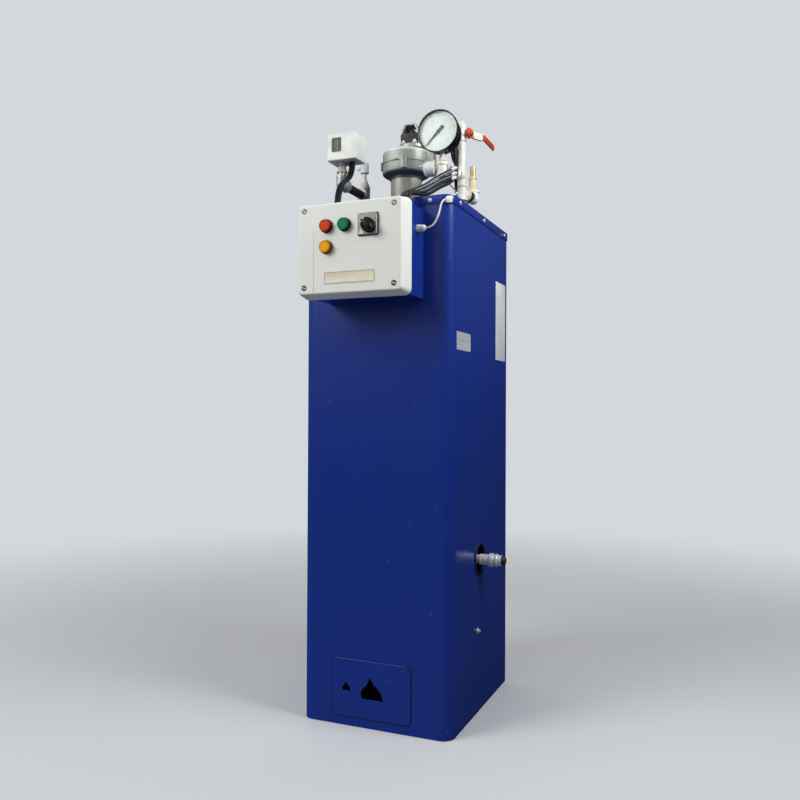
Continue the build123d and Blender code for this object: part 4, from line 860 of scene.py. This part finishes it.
# Valve lever: a flat steel bar with a dogleg, painted red, held on the valve's stem by a nut. White tape
# is wrapped round its sloping part and the rest is dipped in red vinyl.
lever_high = cad_box("valve_lever")[1]
stand_y, valve_z = middle("stand_pipe").y, middle("valve_lever").z
lever_sheet, lever_height, lever_offset = 4, 15, 22
lever_far = lever_high.x - lever_sheet / 2
lever_near = lever_far - lever_offset
lever_line = [Vector((x, y, valve_z)) for x, y in (
    (lever_near, stand_y - 3), (lever_near, stand_y + 14), (lever_far, stand_y + 52),
    (lever_far, lever_high.y - 2))]
slope = lever_line[2] - lever_line[1]
sleeve_start, sleeve_end = lever_line[1] + 0.1 * slope, lever_line[1] + 0.8 * slope
# Red paint, worn to orange at the hub, red vinyl on the grip and white tape between them.
lever_paint = mottled("worn_red_paint", "#b8431f", "#c75a2f", 14, (0.4, 0.55), 2, 0.08)
vinyl = mottled("dipped_red_vinyl", "#a03527", "#b14332", 18, (0.4, 0.5), 3, 0.06)
sleeve_white = mottled("white_tape_wrap", "#e6e4dc", "#cfcac0", 9, (0.5, 0.65), 2, 0.15)
bar = eased(strip("lever_bar", lever_line, (0, 0, lever_height), lever_sheet), 0.8)
grip = strip("lever_grip", [sleeve_end - 0.03 * slope, lever_line[2], (lever_far, lever_high.y, valve_z)],
             (0, 0, lever_height - 3), lever_sheet + 2)
eased(grip, 1.4, 3)
sleeve = strip("lever_sleeve", [sleeve_start, sleeve_end], (0, 0, lever_height + 2), lever_sheet + 3)
eased(sleeve, 1, 3)
lever_hub = turned("lever_hub", (lever_near, stand_y, valve_z), right, [
    (-4, 12), (-3.4, 13), (2.4, 13), (3, 12.2), (3, 7)], 40)
lever_nut = turned("lever_nut", (lever_near, stand_y, valve_z), right, [
    (2, 7.6), (2.8, 8.4), (7, 8.4), (7.8, 7.6), (7.8, 4), (9.6, 4), (10, 3.4)], 6)
lever = joined("lever_handle", painted(bar, lever_paint), painted(grip, vinyl), painted(sleeve, sleeve_white),
               painted(lever_hub, lever_paint), painted(lever_nut, lever_paint))
finished(lever, None, "lever_red", "valve_lever", hides="valve_lever")

# Pressure switch: a moulded box on a bellows cup and a threaded neck, with a sight window over its scale.
# It stands on a branch of galvanised pipe, with a tee, a nipple and an elbow below it.
box_low = cad_box("pressure_switch")[0]
neck_x, neck_y, _ = middle("switch_neck")
window_low, window_high = (-162, 1358), (-136, 1393)
scale_left, scale_foot, scale_pitch, scale_count = window_low[0] + 8, window_low[1] + 7, 3.5, 7
bar_left, bar_width, bar_margin = window_low[0] + 15, 1.4, 5
dress(white_nylon, "pressure_switch")
# Hot dip galvanised pipe: grey white with a cloudy spangle and chalky runs.
galvanised = mottled("hot_dip_galvanised", "#c3c8c6", "#9ea5a5", 13, (0.4, 0.6), 3, 0.12, Metallic=0.45)
dress(galvanised, "switch_riser", "switch_tee", "switch_elbow")
# Zinc casting: dull and yellowish.
zinc_casting = mottled("dull_zinc_casting", "#cfccbb", "#aaa794", 12, (0.4, 0.55), 2.5, 0.1, Metallic=0.35)
dress(zinc_casting, "switch_neck")
# Smoked acrylic over a dark olive scale: glossy, a little cloudy, in a grey frame.
smoked = mottled("smoked_acrylic", "#575c4e", "#676c5d", 9, (0.3, 0.4), 4, 0.02, Specular_IOR_Level=0.06)
window_frame = mottled("grey_window_frame", "#6c7066", "#5f6359", 8, (0.4, 0.5), 2, 0.02)
window = block("switch_window", (window_low[0], box_low.y - 0.8, window_low[1]),
               (window_high[0], box_low.y + 0.6, window_high[1]))
painted(round_corners(window, front, 2.5), window_frame)
window.data.materials.append(smoked)
edit(window, "FACE", lambda face: face.normal.y < -0.9)
bpy.ops.mesh.inset(thickness=1.4 * mm, depth=0)
extrude((0, 0.6 * mm, 0))
window.active_material_index = 1
bpy.ops.object.material_slot_assign()
bpy.ops.object.mode_set(mode="OBJECT")
finished(window, None, "grey_plastic")
scale_marks = [block("bar", (bar_left, box_low.y - 0.4, window_low[1] + bar_margin),
                     (bar_left + bar_width, box_low.y, window_high[1] - bar_margin))]
for step in range(scale_count):
    z, width = scale_foot + scale_pitch * step, 5 if step % 3 == 0 else 3
    scale_marks.append(block("mark", (scale_left, box_low.y - 0.35, z - 0.35),
                             (scale_left + width, box_low.y, z + 0.35)))
finished(joined("switch_scale", *scale_marks), line_grey, "white_plastic")
cup = turned("bellows_cup", (neck_x, neck_y, box_low.z), (0, 0, -1), [
    (-1, 15), (2.5, 15), (4, 14), (8, 10.6), (9.5, 10), (10, 9.2)], 40)
finished(cup, galvanised, "zinc_plate")

# Feed: a chromed nozzle with two turned collars and a dark hose tail at its end, through a round hole
# in the right side whose edge has a folded black rim.
nozzle_low, nozzle_high = cad_box("feed_nozzle")
feed_base = (0, *middle("feed_nozzle").yz)
dress(pan_paint, "feed_rim")
# Dull chrome on brass: bright where the lamps show in it, dark where the floor does.
chrome = mottled("dull_chrome_plate", "#f2f5f5", "#e2e7e8", 10, (0.2, 0.32), 4, 0.01, Metallic=0.35)
nozzle = turned("feed_pipe", feed_base, right, [
    (nozzle_low.x, 10.5), (186, 10.5), (187, 13), (191, 13), (192, 10.5), (194, 10.5), (194.6, 13), (208, 13),
    (208.6, 11), (210.4, 11), (211, 15.4), (212, 16.4), (219, 16.4), (220, 15.4), (220.4, 11), (223.6, 11),
    (224.2, 14.6), (225, 15.2), (230, 15.2), (231, 14.4), (231.4, 12.6), (239.6, 12.6), (240.4, 11.8)], 40)
tail = turned("tail", feed_base, right, [
    (239, 11), (244, 10.4), (nozzle_high.x - 1, 8.6), (nozzle_high.x, 7.4), (nozzle_high.x - 6, 6)], 32)
feed = joined("feed_union", painted(nozzle, chrome), painted(tail, pan_paint))
finished(feed, None, "zinc_plate", hides="feed_nozzle")

# Cable entries: nylon glands with a hexagon body and a domed nut on the housing's top and right side,
# and two rubber grommets in the lid.
gland_y, gland_height, gland_foot = -259, 17, cad_box("control_housing")[1].z
side_gland_place = (cad_box("control_housing")[1].x, gland_y, 1120)
grommet_places = ((142, -72), (156, -100))
# Black nylon is half matt, the rubber dull and dusty.
black_nylon = mottled("moulded_black_nylon", "#121213", "#1e1e1f", 8, (0.4, 0.55), 1.5, 0.03)
rubber = mottled("moulded_black_rubber", "#161616", "#242322", 6, (0.6, 0.75), 1.2, 0.04)


def gland(name, base, axis, radius, length):
    """A cable gland: a hexagon body with a domed nut drawn down on the cable."""
    body = turned(name, base, axis, [
        (-0.5, 0.95 * radius), (0, radius), (0.3 * length, radius), (0.34 * length, 0.95 * radius)], 6)
    nut = turned("nut", base, axis, [(length * reach, radius * width) for reach, width in (
        (0.3, 0.8), (0.38, 0.86), (0.74, 0.84), (0.88, 0.72), (0.97, 0.56), (1, 0.5))], 32)
    return joined(name, body, nut)


left_gland = gland("left_gland", (-78, gland_y, gland_foot), up, 12, gland_height)
right_gland = gland("right_gland", (88, gland_y, gland_foot), up, 15, gland_height)
finished(joined("top_glands", left_gland, right_gland), black_nylon, "black_plastic")
side_gland = gland("side_gland", side_gland_place, right, 8.4, 20)
finished(side_gland, white_nylon, "white_plastic", hides="cable_glands")
grommet = turned("lid_grommets", (0, 0, lid_high.z), up, [
    (-0.5, 7.6), (1.6, 7.6), (2.4, 6.6), (7, 5.4), (8, 4.6)], 32)
finished(copies(grommet, [placed(x, y, 0) for x, y in grommet_places]), rubber, "black_plastic")

# Held wiring: round PVC cables from the control box to the pressure switch, the fan motor and the boiler,
# laid in one bundle to the stand pipe, and one thin pale probe lead held by a clip at the lid's edge.
cable_radius, cable_pitch, thin_radius, lead_radius, sleeve_wall = 3.75, 8.5, 1.5, 2, 0.7
clip_place, clip_turn = (176.5, -219.85, 1187), 35
switch_route = [(-78, -259, 1183), (-78, -259, 1236), (-118.4, -104, 1298), (-118.4, -104, 1338)]
strands = [
    [(79.5, -259, 1183), (79.5, -259, 1197), (86, -246, 1206), (104, -200, 1226), (124, -150, 1262),
     (140, -116, 1282), (152, -92, 1296), (128, -62, 1330), (128, -62, 1362),
     (71, -20, 1393), (30, -20, 1393)],
    [(88, -259, 1183), (88, -259, 1197), (94, -246, 1205), (108, -200, 1219), (126, -150, 1252),
     (140, -116, 1270), (152, -92, 1284), (135, -60, 1322), (135, -60, 1374),
     (76, -20, 1404), (30, -20, 1404)],
    [(92, -266, 1183), (92, -266, 1196), (96, -254, 1203), (110, -206, 1211), (128, -152, 1244),
     (140, -118, 1261), (151, -94, 1274), (141, -64, 1312), (139, -52, 1360),
     (80, -14, 1400), (30, -12, 1400)],
    [(96.5, -259, 1183), (96.5, -259, 1196), (100, -244, 1203), (114, -194, 1208), (126, -148, 1236),
     (139, -116, 1253), (146, -90, 1272), (142, -72, 1262), (142, -72, 1206)],
]
lead_route = [(138, -259, 1120), (153, -259, 1120), (164, -250, 1148), (166, -236, 1184), (177, -219, 1188),
              (182, -196, 1204), (166, -142, 1220), (156, -104, 1234), (156, -100, 1206)]


def cable(name, points, radius, finish):
    """A cable: a tube along one smooth line that is drawn by the route's points (in mm)."""
    bpy.ops.curve.primitive_nurbs_path_add()
    wire = bpy.context.object
    wire.name = name
    wire.data.splines.clear()
    line = wire.data.splines.new("NURBS")
    line.points.add(len(points) - 1)
    for knot, point in zip(line.points, points):
        knot.co = (point[0] * mm, point[1] * mm, point[2] * mm, 1)
    line.order_u = 3
    line.use_endpoint_u = True
    line.resolution_u = 10
    wire.data.dimensions = "3D"
    wire.data.bevel_depth = radius * mm
    wire.data.bevel_resolution = 4
    wire.data.use_fill_caps = True
    bpy.ops.object.convert(target="MESH")
    return painted(wire, finish)


# Extruded PVC sheath: black, grey or pale, half gloss, with slight scuffs.
pvc_black = mottled("extruded_black_pvc", "#0e0e0f", "#19191b", 14, (0.35, 0.5), 2, 0.03,
                    Specular_IOR_Level=0.3)
pvc_grey = mottled("extruded_grey_pvc", "#858a90", "#6a6f75", 14, (0.3, 0.45), 2, 0.02)
pvc_pale = mottled("extruded_pale_pvc", "#dcdad2", "#c9c6bc", 14, (0.4, 0.5), 2, 0.02)
switch_wires = [cable("switch_wire", [(x + side, y, z) for x, y, z in switch_route], cable_radius, pvc_black)
                for side in (-cable_pitch / 2, cable_pitch / 2)]
finished(joined("switch_wires", *switch_wires), None, "cable_black", hides="switch_cables")
main_wires = [cable("main_wire", strand, cable_radius, pvc_black) for strand in strands]
# Thin grey wires tied along the bundle, which stand partly for pale highlights along the black strands,
# and a white sleeve on each strand beside the stand pipe, a painted highlight where the strands bend.
thin_wires = [[(x + 3, y - 5, z - 3) for x, y, z in strand[1:7]] for strand in strands[:2]]
thin_wires.append([(126, -112, 1258), (131, -103, 1260), (148, -98, 1242), (155, -100, 1226),
                   (156, -100, 1206)])
main_wires += [cable("thin_wire", points, thin_radius, pvc_grey) for points in thin_wires]
# The white sleeves are painted highlights where the strands bend up.
for strand in strands[:3]:
    near, far = Vector(strand[5]), Vector(strand[6])
    main_wires.append(cable("sleeve", [near.lerp(far, share) for share in (0.22, 0.5, 0.8)],
                            cable_radius + sleeve_wall, sleeve_white))
finished(joined("main_wires", *main_wires), None, "cable_black", hides="main_cables")
probe_lead = cable("probe_lead", lead_route, lead_radius, pvc_pale)
finished(probe_lead, None, "white_plastic", hides="signal_cable")
clip = block("lead_clip", (-7, -4, -7), (7, 4, 7))
eased(round_corners(clip, front, 2.5), 0.8)
clip.data.transform(placed(*clip_place, clip_turn))
finished(clip, white_nylon, "white_plastic", hides="cable_clip")
